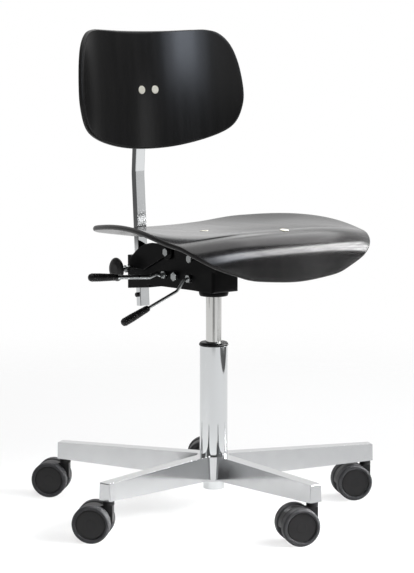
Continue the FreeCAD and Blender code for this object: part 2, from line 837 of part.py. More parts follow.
def rivet(spot, outward, grip):
    """Flat-headed rivet let into a surface, with its shank and a tail head past the grip."""
    head_foot = spot.sub(outward * size("rivet_sunk"))
    head = Part.makeCylinder(size("rivet_radius"), size("rivet_head"), head_foot, outward)
    tail_spot = spot.sub(outward * grip)
    shank = rod_between(tail_spot, spot, size("rivet_shank_radius"))
    tail_end = tail_spot.sub(outward * size("rivet_tail"))
    tail_head = rod_between(tail_end, tail_spot, size("rivet_tail_radius"))
    return head.fuse([shank, tail_head]).removeSplitter()


def facing_out(point, run, aside):
    """Direction square to a formula surface, out of its face."""
    return point(run, aside).sub(under(point, run, aside, 1.0)).normalize()


# Seat: dished at the sides, rising a little to the front, rolled down at the front edge

lobe = size("cheek_lobe")
seat_middle = back_pivot.z + lobe + size("seat_clearance")


def seat_point(run, aside):
    """Top of the seat at a run forward of the column and a distance aside."""
    share = abs(aside) / size("seat_half_width")
    roll_at = size("roll_start") - size("roll_start_sweep") * share ** 2
    flat = min(run, roll_at)
    fade = min(max((flat + size("dish_rear")) / size("dish_length"), 0.0), size("dish_fade_most"))
    dish = size("dish_rise") * share ** size("dish_power")
    fall = 1 - size("dish_front_share")
    curve = 1 / size("seat_long_radius")
    ahead = flat + size("seat_lowest_rear")
    slope = math.atan(curve * ahead - dish * fall * 2 * fade / size("dish_length"))
    radius = size("roll_radius")
    most = math.radians(size("roll_turn"))
    bend = min(max((run - roll_at) / radius, 0.0), most)
    lip = max(run - roll_at - most * radius, 0.0)
    tilt = slope - bend
    forward = flat + radius * (math.sin(slope) - math.sin(tilt)) + lip * math.cos(tilt)
    height = seat_middle + curve / 2 * ahead ** 2 + dish * (1 - fall * fade ** 2)
    height += radius * (math.cos(tilt) - math.cos(slope)) + lip * math.sin(tilt)
    return V(aside, -forward, height)


# Rim of the seat from the rear middle to the front middle:
# shares of its rear or front run, and of its half width
SEAT_RIM = [(-1.0, 0.0), (-0.995, 0.28), (-0.95, 0.47), (-0.80, 0.695), (-0.50, 0.81), (0.0, 0.92),
            (0.37, 1.0), (0.617, 0.962), (0.783, 0.807), (0.90, 0.59), (0.967, 0.375), (1.0, 0.0)]
seat_rim = []
for along, out in SEAT_RIM:
    reach = size("seat_rear") if along < 0 else size("seat_front_length")
    seat_rim.append((along * reach, out * size("seat_rim_half")))
seat_rim += [(run, -aside) for run, aside in reversed(seat_rim[1:-1])]
margin = size("seat_margin")
seat_runs = spaced(-size("seat_rear") - margin, size("seat_front_length") + margin, 41)
seat_asides = spaced(-size("seat_rim_half") - margin, size("seat_rim_half") + margin, 19)
seat = rimmed_sheet(seat_point, seat_runs, seat_asides, seat_rim, size("ply"))

carrier_sheet = size("carrier_sheet")
cheek = size("cheek_sheet")
cheek_inner = half_housing + size("cheek_gap")
half_carrier = cheek_inner + cheek + size("carrier_gap") + carrier_sheet
carrier_runs = spaced(-size("carrier_rear"), size("seat_rivet_front") + size("carrier_lip"), 15)
carrier_asides = spaced(-half_carrier, half_carrier, 5)
under_ply = size("ply") + size("sheet_gap")
carrier = pressed_sheet(seat_point, carrier_runs, carrier_asides, under_ply, under_ply + carrier_sheet)

flange_rear = size("carrier_flange_rear")
flange_front = -size("carrier_flange_front")
flange_round = ear
rear_drop = seat_pivot.z - size("carrier_flange_rear_drop")
front_drop = seat_pivot.z - size("carrier_flange_front_drop")


def flange_top(rearward):
    """Height at the middle of the carrier's sheet above a flange."""
    return under(seat_point, -rearward, half_carrier - carrier_sheet, under_ply + carrier_sheet / 2).z


flange_outline = [
    (flange_rear, flange_top(flange_rear)),
    (flange_rear, rear_drop + flange_round),
    (flange_rear - flange_round, rear_drop),
    (flange_front, front_drop),
    (flange_front, flange_top(flange_front)),
]
flanges = [plate(flange_outline, carrier_sheet, -half_carrier),
           plate(flange_outline, carrier_sheet, half_carrier - carrier_sheet)]
carrier = carrier.fuse(flanges).removeSplitter()
pin_start = V(-across / 2, seat_pivot.y, seat_pivot.z)
pin_hole = Part.makeCylinder(size("pivot_radius"), across, pin_start, SIDEWAYS)
carrier = carrier.cut(pin_hole)

seat_rivets = []
for run in (-size("seat_rivet_rear"), size("seat_rivet_front")):
    outward = facing_out(seat_point, run, 0.0)
    seat_rivets.append(rivet(seat_point(run, 0.0), outward, under_ply + carrier_sheet))
featured("seat_shell", seat.cut(seat_rivets))
featured("seat_carrier", carrier.cut(seat_rivets))
featured("seat_rivets", Part.makeCompound(seat_rivets))
featured("seat_pivot_pin", through_bolt(seat_pivot, half_carrier, size("pivot_radius"),
                                        size("pivot_head_radius"), size("pivot_head_height")))

# Back carrier: two arched cheeks on the pivot, tied by a bridge to the clamp block behind

block_front = rear + size("block_gap")
block_rear = block_front + size("block_length")
block_bottom = back_pivot.z - size("block_drop")
block_height = size("block_height")
arch_foot = back_pivot.z - size("arch_foot_drop")


def cheek_plate(at):
    """Arched cheek: a lobe round the pivot, a crown, and a rounded tail above the knob."""
    pivot = back_pivot
    crown = V(at, pivot.y + size("arch_crown_back"), pivot.z + lobe - size("arch_crown_drop"))
    shoulder = V(at, pivot.y + size("arch_shoulder_back"), pivot.z - size("arch_shoulder_drop"))
    tail = V(at, pivot.y + size("arch_tail_back"), pivot.z - size("arch_tail_drop"))
    tail_under = V(at, tail.y - lobe / 2, arch_foot)
    heel = V(at, block_front, arch_foot)
    lobe_top = V(at, pivot.y, pivot.z + lobe)
    lobe_front = V(at, pivot.y - lobe, pivot.z)
    low = math.radians(-45)
    lobe_foot = V(at, pivot.y + lobe * math.cos(low), pivot.z + lobe * math.sin(low))
    tail_round = tail_under.add(tail) * 0.5
    tail_round = tail_round.add(V(0, 1, -1).normalize() * (lobe / 8))
    edges = [
        Part.LineSegment(lobe_top, crown).toShape(),
        Part.Arc(crown, shoulder, tail).toShape(),
        Part.Arc(tail, tail_round, tail_under).toShape(),
        Part.LineSegment(tail_under, heel).toShape(),
        Part.LineSegment(heel, lobe_foot).toShape(),
        Part.Arc(lobe_foot, lobe_front, lobe_top).toShape(),
    ]
    return Part.Face(Part.Wire(edges)).extrude(V(cheek, 0, 0))


bar_direction = V(0, math.sin(math.radians(size("bar_lean"))), math.cos(math.radians(size("bar_lean"))))
bar_foot = V(0, block_rear - size("bar_inset"), block_bottom - size("bar_hang"))


def bar_at(height):
    """Middle of the straight part of the bar at a height."""
    return bar_foot.add(bar_direction * ((height - bar_foot.z) / bar_direction.z))


def rounded_section(at, along, width, depth, corner):
    """Rectangle with rounded corners, square to a direction in the fore and aft plane."""
    side = Part.makePlane(width, depth, V(-width / 2, -depth / 2, 0))
    prism = side.extrude(UP)
    prism = prism.makeFillet(corner, upright_edges(prism, UP))
    face = [f for f in prism.Faces if abs(f.CenterOfMass.z) < 1e-6][0]
    wire = face.OuterWire.copy()
    wire.Placement = FreeCAD.Placement(at, FreeCAD.Rotation(UP, along))
    return wire


bridge_front = back_pivot.y + size("bridge_back")
bridge = Part.makeBox(2 * (cheek_inner + cheek), size("bridge_depth"), size("bridge_height"),
                      V(-cheek_inner - cheek, bridge_front, arch_foot))
cheeks = [cheek_plate(-cheek_inner - cheek), cheek_plate(cheek_inner)]
back_carrier = cheeks[0].fuse([cheeks[1], bridge]).removeSplitter()
block_half = size("block_half_width")
block_side = [
    V(-block_half, block_front, block_bottom + size("block_slope")),
    V(-block_half, block_rear, block_bottom),
    V(-block_half, block_rear, block_bottom + block_height),
    V(-block_half, block_front, block_bottom + block_height),
]
block = Part.Face(Part.makePolygon(block_side + block_side[:1])).extrude(V(2 * block_half, 0, 0))
block = block.makeFillet(size("bar_edge_round"), block.Edges)
fit = 2 * size("bar_fit")
slot_section = rounded_section(bar_at(block_bottom - block_height), bar_direction, size("bar_width") + fit,
                               size("bar_depth") + fit, size("bar_edge_round"))
slot = Part.Face(slot_section).extrude(bar_direction * (3 * block_height))
knob_spot = bar_at(block_bottom + size("knob_rise"))
spindle_reach = size("bar_width") / 2 + size("bar_fit")
spindle_room = rod_between(V(-across, knob_spot.y, knob_spot.z), V(-spindle_reach, knob_spot.y, knob_spot.z),
                           size("spindle_radius") + size("running_clearance"))
block = block.cut([slot, spindle_room])
back_carrier = back_carrier.cut([block.fuse(slot), spindle_room])
back_carrier = back_carrier.cut(Part.makeCylinder(size("pivot_radius"), across,
                                                  V(-across / 2, back_pivot.y, back_pivot.z), SIDEWAYS))
featured("clamp_block", block)
featured("back_carrier", back_carrier)
featured("back_pivot_pin", through_bolt(back_pivot, cheek_inner + cheek, size("pivot_radius"),
                                        size("pivot_head_radius"), size("pivot_head_height")))

# Back bar: a flat bar, leaning back, then bent forward towards the shell

bend_spot = bar_at(bar_foot.z + size("bar_bend_rise"))
top_lean = math.radians(size("bar_top_lean"))
top_direction = V(0, math.sin(top_lean), math.cos(top_lean))
straight_rise = size("bar_rise") - size("bar_bend_rise")
bar_top = bend_spot.add(top_direction * (straight_rise / top_direction.z))
turn_half = math.radians(size("bar_lean") - size("bar_top_lean")) / 2
bend_reach = size("bar_bend_radius") * math.tan(turn_half)
arc_start = bend_spot.sub(bar_direction * bend_reach)
arc_end = bend_spot.add(top_direction * bend_reach)
inward = (arc_start.add(arc_end) * 0.5).sub(bend_spot).normalize()
arc_middle = bend_spot.add(inward * (size("bar_bend_radius") * (1 / math.cos(turn_half) - 1)))
bar_path = Part.Wire([
    Part.LineSegment(bar_foot, arc_start).toShape(),
    Part.Arc(arc_start, arc_middle, arc_end).toShape(),
    Part.LineSegment(arc_end, bar_top).toShape(),
])
bar_section = rounded_section(bar_foot, bar_direction, size("bar_width"), size("bar_depth"),
                              size("bar_edge_round"))
bar = bar_path.makePipeShell([bar_section], True, False)
featured("backrest_bar", bar)
stop_spot = bar_at(bar_foot.z + size("stop_rise"))
stop_face = -size("bar_width") / 2
featured("bar_stop_button", rod_between(V(stop_face, stop_spot.y, stop_spot.z),
                                        V(stop_face - size("stop_length"), stop_spot.y, stop_spot.z),
                                        size("stop_radius")))

# Back shell: wrapped forward at the sides, leaning back

back_middle = bar_top.sub(V(0, size("back_setback"), size("back_middle_drop")))
back_top = back_middle.z + size("back_rise")
back_bottom = back_middle.z - size("back_drop")


def back_point(aside, height):
    """Front of the back shell at a distance aside and a height."""
    lift = height - back_middle.z
    share = abs(aside) / size("seat_half_width")
    rearward = back_middle.y + size("back_lean") * lift + size("back_belly") * (lift / 100) ** 2
    return V(aside, rearward - size("back_wrap") * share ** size("back_wrap_power"), height)


# Rim of the back from its top middle to its bottom middle:
# shares of its half width, and of its rise or drop
BACK_RIM = [(0.0, 0.995), (0.30, 1.002), (0.56, 1.02), (0.70, 1.02), (0.815, 0.955), (0.91, 0.755),
            (0.97, 0.42), (1.0, -0.03), (0.985, -0.31), (0.92, -0.58), (0.80, -0.745), (0.58, -0.88),
            (0.30, -0.972), (0.0, -1.0)]
back_rim = []
for out, share in BACK_RIM:
    reach = size("back_rise") if share > 0 else size("back_drop")
    back_rim.append((out * size("back_half_width"), back_middle.z + share * reach))
back_rim += [(-aside, height) for aside, height in reversed(back_rim[1:-1])]
back_asides = spaced(-size("back_half_width") - margin, size("back_half_width") + margin, 23)
back_heights = spaced(back_bottom - margin, back_top + margin, 15)
back = rimmed_sheet(back_point, back_asides, back_heights, back_rim, size("ply"))

bracket_half = size("bracket_width") / 2
rivet_height = back_middle.z - size("back_rivet_drop")
bracket_low = rivet_height - size("bracket_height") / 2
bracket_high = rivet_height + size("bracket_height") / 2
plate_depth = under_ply + carrier_sheet
bracket_asides = spaced(-bracket_half, bracket_half, 7)
bracket_heights = spaced(bracket_low, bracket_high, 5)
bracket_plate = pressed_sheet(back_point, bracket_asides, bracket_heights, under_ply, plate_depth)
socket_wall = size("socket_wall")
socket_rear = bar_top.y + size("bar_depth") / 2 + 2 * socket_wall
socket_outline = []
for height in (bracket_low + socket_wall, bracket_high - socket_wall):
    socket_outline.append((under(back_point, 0.0, height, under_ply + carrier_sheet / 2).y, height))
socket_outline += [(socket_rear, bracket_high - socket_wall), (socket_rear, bracket_low + socket_wall)]
socket_width = size("bar_width") + 2 * size("socket_side")
socket_block = plate(socket_outline, socket_width, -socket_width / 2)
back_rivets = []
for side in (-1, 1):
    aside = side * size("back_rivet_spacing") / 2
    outward = facing_out(back_point, aside, rivet_height)
    spot = back_point(aside, rivet_height)
    back_rivets.append(rivet(spot, outward, plate_depth))
bracket = bracket_plate.fuse(socket_block).removeSplitter().cut(back_rivets + [bar])
featured("back_bracket", bracket)
featured("back_shell", back.cut(back_rivets))
featured("back_rivets", Part.makeCompound(back_rivets))

# Knob: a lens-shaped disc on a threaded spindle that presses on the bar

spindle_end = V(-spindle_reach, knob_spot.y, knob_spot.z)
knob_back = size("knob_reach") - size("knob_thickness") / 2
knob_seat = V(-knob_back - size("knob_thickness") / 2, knob_spot.y, knob_spot.z)
spindle = rod_between(spindle_end, knob_seat, size("spindle_radius"))
nut_spot = V(-block_half - 2 * size("bolt_head_height"), knob_spot.y, knob_spot.z)
nut = hexagon(nut_spot, V(-1, 0, 0), size("pivot_head_radius"), size("bolt_head_height"))
featured("knob_spindle", spindle.fuse(nut).removeSplitter())
knob = turned("knob", [
    ("0", "knob_thickness / 2"),
    ("spindle_radius", "knob_thickness / 2"),
    ("spindle_radius", "0"),
    ("knob_radius / 2", "0"),
    ("knob_radius * 0.85", "knob_thickness * 0.15"),
    ("knob_radius", "knob_thickness * 0.35"),
    ("knob_radius", "knob_thickness * 0.55"),
    ("knob_radius * 0.85", "knob_thickness * 0.78"),
    ("knob_radius / 2", "knob_thickness * 0.95"),
    ("0", "knob_thickness"),
])
knob.Placement = lying(V(-knob_back, knob_spot.y, knob_spot.z), V(-1, 0, 0))

# Levers: bent round rods on shafts through the housing, with tapered grips


def lever(node, route, extra):
    """Lever rod along a route, with fixed extras, and a grip on the end of its last run."""
    radius = node + "_radius"
    onward = route[-1].sub(route[-2]).normalize()
    grip_start = route[-1].sub(onward * size("grip_length"))
    rod_end = grip_start.add(onward * size("grip_overlap"))
    rod = bent_rod(route[:-1] + [rod_end], size("lever_bend_radius"), size(radius))
    featured(node + "_rod", rod.fuse(extra).removeSplitter())
    grip = turned(node + "_grip", [
        ("0", "grip_overlap"),
        (radius, "grip_overlap"),
        (radius, "0"),
        ("grip_neck_radius", "0"),
        ("grip_neck_radius * 1.1", "grip_length * 0.06"),
        ("grip_radius * 0.9", "grip_length * 0.4"),
        ("grip_radius", "grip_length * 0.7"),
        ("grip_radius", "grip_length * 0.88"),
        ("grip_radius * 0.8", "grip_length * 0.96"),
        ("grip_radius * 0.4", "grip_length"),
        ("0", "grip_length"),
    ])
    grip.Placement = lying(grip_start, onward)


def shaft_nut(spot):
    """Hexagon round a lever's shaft, just outside the housing wall."""
    start = V(-half_housing - size("part_gap"), spot.y, spot.z)
    return hexagon(start, V(-1, 0, 0), size("pivot_head_radius"), size("pivot_head_height"))


shaft_out = -half_housing - size("lever_shaft_out")
tilt_rear = size("tilt_lever_rear")
tilt_run = tilt_rear - size("tilt_run_forward")
tilt_route = [
    V(half_housing, tilt_rear, lever_height),
    V(shaft_out, tilt_rear, lever_height),
    V(-half_housing - size("tilt_crank_out"), tilt_run, lever_height + size("tilt_crank_rise")),
    V(-half_housing - size("tilt_run_out"), tilt_run, lever_height - size("tilt_run_drop")),
    V(-size("tilt_lever_reach"), tilt_run, lever_height + size("tilt_grip_rise")),
]
lever("tilt_lever", tilt_route, [shaft_nut(tilt_spot)])

lift_rear = size("lift_lever_rear")
finger_half = size("button_radius")
finger_low = size("cylinder_top_height") + size("button_height") + size("finger_gap")
finger_height = lever_height + size("lift_lever_radius") - finger_low
finger = Part.makeBox(2 * finger_half, lift_rear + finger_half, finger_height,
                      V(-finger_half, -finger_half, finger_low))
lift_run = lift_rear + size("lift_run_back")
lift_route = [
    V(half_housing, lift_rear, lever_height),
    V(shaft_out, lift_rear, lever_height),
    V(-half_housing - size("lift_drop_out"), lift_run, lever_height - size("lift_drop")),
    V(-size("lift_lever_reach"), lift_run, lever_height - size("lift_grip_drop")),
]
lever("lift_lever", lift_route, [shaft_nut(lift_spot), finger])

# Check every object, then write one file for each piece

doc.recompute()
for item in doc.Objects:
    if "Invalid" in item.State or "Error" in item.State:
        raise RuntimeError("failed object: " + item.Label)
for node, piece in NODES.items():
    if piece.Shape.isNull() or not piece.Shape.isValid():
        raise RuntimeError("bad shape: " + node)
os.makedirs("parts", exist_ok=True)
for node, piece in NODES.items():
    piece.Shape.exportStep("parts/%s.step" % node)
print("%d pieces written" % len(NODES))
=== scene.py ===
"""Looks of an office swivel chair: black plywood shells, chromed bar and column, polished star base."""
import math

import bmesh
import bpy
from mathutils import Matrix, Vector


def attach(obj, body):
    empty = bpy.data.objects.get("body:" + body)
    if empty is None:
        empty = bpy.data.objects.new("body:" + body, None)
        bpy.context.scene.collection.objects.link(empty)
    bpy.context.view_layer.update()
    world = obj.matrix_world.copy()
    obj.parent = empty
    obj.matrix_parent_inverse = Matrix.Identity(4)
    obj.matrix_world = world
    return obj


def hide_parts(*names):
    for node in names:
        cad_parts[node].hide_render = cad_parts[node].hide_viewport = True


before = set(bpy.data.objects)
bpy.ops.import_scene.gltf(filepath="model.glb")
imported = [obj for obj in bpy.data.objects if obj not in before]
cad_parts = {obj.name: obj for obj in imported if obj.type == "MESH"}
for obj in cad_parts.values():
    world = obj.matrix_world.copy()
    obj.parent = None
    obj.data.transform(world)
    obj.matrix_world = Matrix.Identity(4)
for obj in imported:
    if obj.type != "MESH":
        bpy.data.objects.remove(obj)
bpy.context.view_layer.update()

# Pieces are stated in millimetres; the stage, the lamps and the camera in metres
MM = 0.001
SMOOTH_ANGLE = math.radians(32)
EASE_ANGLE = math.radians(40)
FLAT_ANGLE = math.radians(0.5)
SHELL_MERGE = 0.01 * MM
TURNED_MERGE = 0.005 * MM
SOLID_MERGE = 0.002 * MM
# Middle range of a noise, over which a polish or sheen varies
NOISE_RANGE = {"From Min": 0.3, "From Max": 0.7}


def linear(code):
    """Linear colour of an sRGB hex value."""
    parts = [int(code[i:i + 2], 16) / 255 for i in (1, 3, 5)]
    return [c / 12.92 if c <= 0.04045 else ((c + 0.055) / 1.055) ** 2.4 for c in parts] + [1.0]


def add(tree, kind, values=None, links=None, stops=(), **settings):
    """Add one shader node with its settings, its sockets' values, its links and any ramp's stops."""
    node = tree.nodes.new("ShaderNode" + kind)
    for name, value in settings.items():
        setattr(node, name, value)
    for name, value in (values or {}).items():
        node.inputs[name].default_value = value
    for name, socket in (links or {}).items():
        tree.links.new(socket, node.inputs[name])
    for at, (position, colour) in enumerate(stops):
        node.color_ramp.elements[at].position = position
        node.color_ramp.elements[at].color = colour
    return node


def new_material(name):
    """Empty node material and its tree."""
    material = bpy.data.materials.new(name)
    material.use_nodes = True
    material.node_tree.nodes.clear()
    return material, material.node_tree


# Black-stained beech veneer under satin lacquer: long fine pores, drawn coarser than real ones to show, and a
# soft broad sheen
def stained_veneer(name, grain_along, rough_low, rough_high):
    """Veneer whose grain runs along the sheet's first or second direction."""
    material, tree = new_material(name)
    pore_width = 1.1 * MM
    pore_length = 70 * MM
    figure_width = 14 * MM
    figure_length = 260 * MM
    place = add(tree, "UVMap", uv_map="sheet").outputs["UV"]
    fine = (1 / pore_length, 1 / pore_width, 1)
    broad = (1 / figure_length, 1 / figure_width, 1)
    if not grain_along:
        fine = (fine[1], fine[0], 1)
        broad = (broad[1], broad[0], 1)
    pores_at = add(tree, "Mapping", {"Scale": fine}, {"Vector": place})
    pores = add(tree, "TexNoise", {"Scale": 1.0, "Detail": 3.0, "Roughness": 0.6},
                {"Vector": pores_at.outputs["Vector"]}).outputs["Fac"]
    figure_at = add(tree, "Mapping", {"Scale": broad}, {"Vector": place})
    figure = add(tree, "TexNoise", {"Scale": 1.0, "Detail": 4.0, "Roughness": 0.55},
                 {"Vector": figure_at.outputs["Vector"]}).outputs["Fac"]
    colour = add(tree, "ValToRGB", links={"Fac": figure},
                 stops=[(0.3, linear("#161616")), (0.72, linear("#1f1e1e"))])
    streaks = add(tree, "ValToRGB", links={"Fac": pores},
                  stops=[(0.36, linear("#0b0b0b")), (0.6, linear("#ffffff"))])
    mixed = add(tree, "Mix", {"Factor": 0.35}, {"A": colour.outputs["Color"], "B": streaks.outputs["Color"]},
                data_type="RGBA", blend_type="MULTIPLY")
    sheen = add(tree, "MapRange", {**NOISE_RANGE, "To Min": rough_low, "To Max": rough_high},
                {"Value": figure})
    relief = add(tree, "Bump", {"Strength": 0.10, "Distance": 0.12 * MM}, {"Height": pores})
    surface = add(tree, "BsdfPrincipled", {"IOR": 1.48}, {"Base Color": mixed.outputs["Result"],
                                                         "Roughness": sheen.outputs["Result"],
                                                         "Normal": relief.outputs["Normal"]})
    add(tree, "OutputMaterial", links={"Surface": surface.outputs["BSDF"]})
    return material


# Edge of the plywood: stained veneer layers, each from dark to a little lighter
def plywood_edge(name):
    """Edge whose layers are counted across the sheet, with a fine grain along it."""
    material, tree = new_material(name)
    layer = 1.5 * MM
    grain_length = 9 * MM
    grain_width = 0.5 * MM
    place = add(tree, "UVMap", uv_map="sheet").outputs["UV"]
    split = add(tree, "SeparateXYZ", links={"Vector": place})
    waves = add(tree, "Math", {1: 1 / layer}, {0: split.outputs["Y"]}, operation="MULTIPLY")
    layers = add(tree, "Math", links={0: waves.outputs["Value"]}, operation="FRACT")
    grain_at = add(tree, "Mapping", {"Scale": (1 / grain_length, 1 / grain_width, 1)}, {"Vector": place})
    grain = add(tree, "TexNoise", {"Scale": 1.0, "Detail": 3.0}, {"Vector": grain_at.outputs["Vector"]})
    both = add(tree, "Math", links={0: layers.outputs["Value"], 1: grain.outputs["Fac"]},
               operation="MULTIPLY")
    colour = add(tree, "ValToRGB", links={"Fac": both.outputs["Value"]},
                 stops=[(0.05, linear("#0e0d0d")), (0.6, linear("#1b1a19"))])
    relief = add(tree, "Bump", {"Strength": 0.2, "Distance": 0.1 * MM}, {"Height": both.outputs["Value"]})
    surface = add(tree, "BsdfPrincipled", {"Roughness": 0.42, "IOR": 1.36},
                  {"Base Color": colour.outputs["Color"], "Normal": relief.outputs["Normal"]})
    add(tree, "OutputMaterial", links={"Surface": surface.outputs["BSDF"]})
    return material


def metal(name, colour, rough_low, rough_high, mark, relief, direction=(1, 1, 1)):
    """Metal whose polish varies over marks of a given size, with a faint relief."""
    material, tree = new_material(name)
    place = add(tree, "TexCoord").outputs["Object"]
    mark_depth = 0.05 * MM
    scale = tuple(part / mark for part in direction)
    marks_at = add(tree, "Mapping", {"Scale": scale}, {"Vector": place})
    marks = add(tree, "TexNoise", {"Scale": 1.0, "Detail": 4.0, "Roughness": 0.6},
                {"Vector": marks_at.outputs["Vector"]}).outputs["Fac"]
    rough = add(tree, "MapRange", {**NOISE_RANGE, "To Min": rough_low, "To Max": rough_high},
                {"Value": marks})
    bump = add(tree, "Bump", {"Strength": relief, "Distance": mark_depth}, {"Height": marks})
    surface = add(tree, "BsdfPrincipled", {"Metallic": 1.0, "Base Color": linear(colour)},
                  {"Roughness": rough.outputs["Result"], "Normal": bump.outputs["Normal"]})
    add(tree, "OutputMaterial", links={"Surface": surface.outputs["BSDF"]})
    return material


def moulded(name, dark, light, rough_low, rough_high, grit, relief, depth, shine):
    """Plastic, soft tread or powder coat: a fine grit in the surface and a slow change of sheen."""
    material, tree = new_material(name)
    place = add(tree, "TexCoord").outputs["Object"]
    cloud = 18 * MM
    fine = add(tree, "TexNoise", {"Scale": 1 / grit, "Detail": 2.0, "Roughness": 0.5}, {"Vector": place})
    slow = add(tree, "TexNoise", {"Scale": 1 / cloud, "Detail": 3.0}, {"Vector": place})
    colour = add(tree, "ValToRGB", links={"Fac": slow.outputs["Fac"]},
                 stops=[(0.35, linear(dark)), (0.7, linear(light))])
    rough = add(tree, "MapRange", {**NOISE_RANGE, "To Min": rough_low, "To Max": rough_high},
                {"Value": slow.outputs["Fac"]})
    bump = add(tree, "Bump", {"Strength": relief, "Distance": depth}, {"Height": fine.outputs["Fac"]})
    surface = add(tree, "BsdfPrincipled", {"Specular IOR Level": shine},
                  {"Base Color": colour.outputs["Color"], "Roughness": rough.outputs["Result"],
                   "Normal": bump.outputs["Normal"]})
    add(tree, "OutputMaterial", links={"Surface": surface.outputs["BSDF"]})
    return material


SEAT_VENEER = stained_veneer("stained_beech_veneer_seat", True, 0.19, 0.23)
BACK_VENEER = stained_veneer("stained_beech_veneer_back", False, 0.18, 0.20)
PLY_EDGE = plywood_edge("stained_plywood_edge")
# Die-cast aluminium, mirror polished by hand: slow waves and fine wheel marks
ALUMINIUM = metal("polished_cast_aluminium", "#c3c4c5", 0.10, 0.20, 22 * MM, 0.06)
# Decorative chrome on drawn steel: nearly a mirror, a trace of handling
CHROME = metal("chromed_steel", "#d2d4d5", 0.03, 0.08, 30 * MM, 0.02)
# Centreless-ground steel tube: fine rings round the axis, drawn coarse to show, give a satin streak
GROUND_STEEL = metal("ground_steel_tube", "#d3d3d1", 0.10, 0.15, 1.2 * MM, 0.10, (0.05, 0.05, 1))
# Bright zinc plate on bolts, nuts and lever rods: soft grey shine
ZINC = metal("bright_zinc_plate", "#aeb1b1", 0.26, 0.32, 9 * MM, 0.005)
# Aluminium rivets, lightly tumbled: pale and soft
RIVET = metal("tumbled_aluminium_rivet", "#f0ecdd", 0.50, 0.60, 2 * MM, 0.15)
# Powder coat on steel: orange peel about a millimetre across, drawn a little coarse to show
POWDER = moulded("black_powder_coat", "#070708", "#0c0c0d", 0.30, 0.38, 1.3 * MM, 0.25, 0.10 * MM, 0.08)
# Polyamide castors, knob and grips: spark-eroded mould texture, drawn coarse to show, gives a soft matt
POLYAMIDE = moulded("black_polyamide", "#0d0c0d", "#131213", 0.38, 0.50, 0.6 * MM, 0.25, 0.05 * MM, 0.35)
# Soft polyurethane tread, moulded: matt dark grey, its grit drawn coarse to show
TREAD = moulded("grey_polyurethane_tread", "#29292b", "#323234", 0.55, 0.68, 0.9 * MM, 0.2, 0.05 * MM, 0.4)


def piece_from(bm, name, materials, body, slot, *nodes, ease=0.0, segments=2):
    """Turn a finished bmesh into a piece that rides on a body and stands for its nodes.

    With an ease, edges sharper than EASE_ANGLE are rounded; large faces keep flat shading next to small ones.
    """
    mesh = bpy.data.meshes.new(name)
    bm.to_mesh(mesh)
    bm.free()
    for material in materials:
        mesh.materials.append(material)
    mesh.shade_smooth()
    mesh.set_sharp_from_angle(angle=SMOOTH_ANGLE)
    piece = bpy.data.objects.new(name, mesh)
    bpy.context.scene.collection.objects.link(piece)
    if ease:
        edge = piece.modifiers.new("eased_edges", "BEVEL")
        edge.width = ease * MM
        edge.segments = segments
        edge.limit_method = "ANGLE"
        edge.angle_limit = EASE_ANGLE
    shading = piece.modifiers.new("even_shading", "WEIGHTED_NORMAL")
    shading.keep_sharp = True
    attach(piece, body)
    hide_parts(*nodes)


# Formed shells: a sheet that follows the same formula as the pressed solid, with a rounded rim
PLY = 9.0
EDGE_ROUND = 3.2
RIM_ROWS = 9
RIM_POINTS = 720
CURVE_STEPS = 40
SLOPE_STEP = 0.5
GRID = 56


def smooth_loop(points, count):
    """Closed smooth curve through points, sampled evenly by its own run."""
    dense = []
    total = len(points)
    for i in range(total):
        p0, p1, p2, p3 = (Vector(points[(i + k - 1) % total]) for k in range(4))
        for step in range(CURVE_STEPS):
            t = step / CURVE_STEPS
            dense.append(0.5 * (2 * p1 + (p2 - p0) * t + (2 * p0 - 5 * p1 + 4 * p2 - p3) * t * t
                                + (3 * p1 - p0 - 3 * p2 + p3) * t ** 3))
    runs = [0.0]
    for a, b in zip(dense, dense[1:] + dense[:1]):
        runs.append(runs[-1] + (b - a).length)
    loop = []
    at = 0
    for i in range(count):
        want = runs[-1] * i / count
        while runs[at + 1] < want:
            at += 1
        share = (want - runs[at]) / (runs[at + 1] - runs[at])
        loop.append(dense[at].lerp(dense[(at + 1) % len(dense)], share))
    return loop, runs[-1]


def square_to_disc(u, v):
    """Share of the radius and turn of a grid point, so that the grid's edge becomes the rim."""
    x = u * math.sqrt(1 - v * v / 2)
    y = v * math.sqrt(1 - u * u / 2)
    return min(math.hypot(x, y), 1.0), math.atan2(y, x) / (2 * math.pi) % 1.0


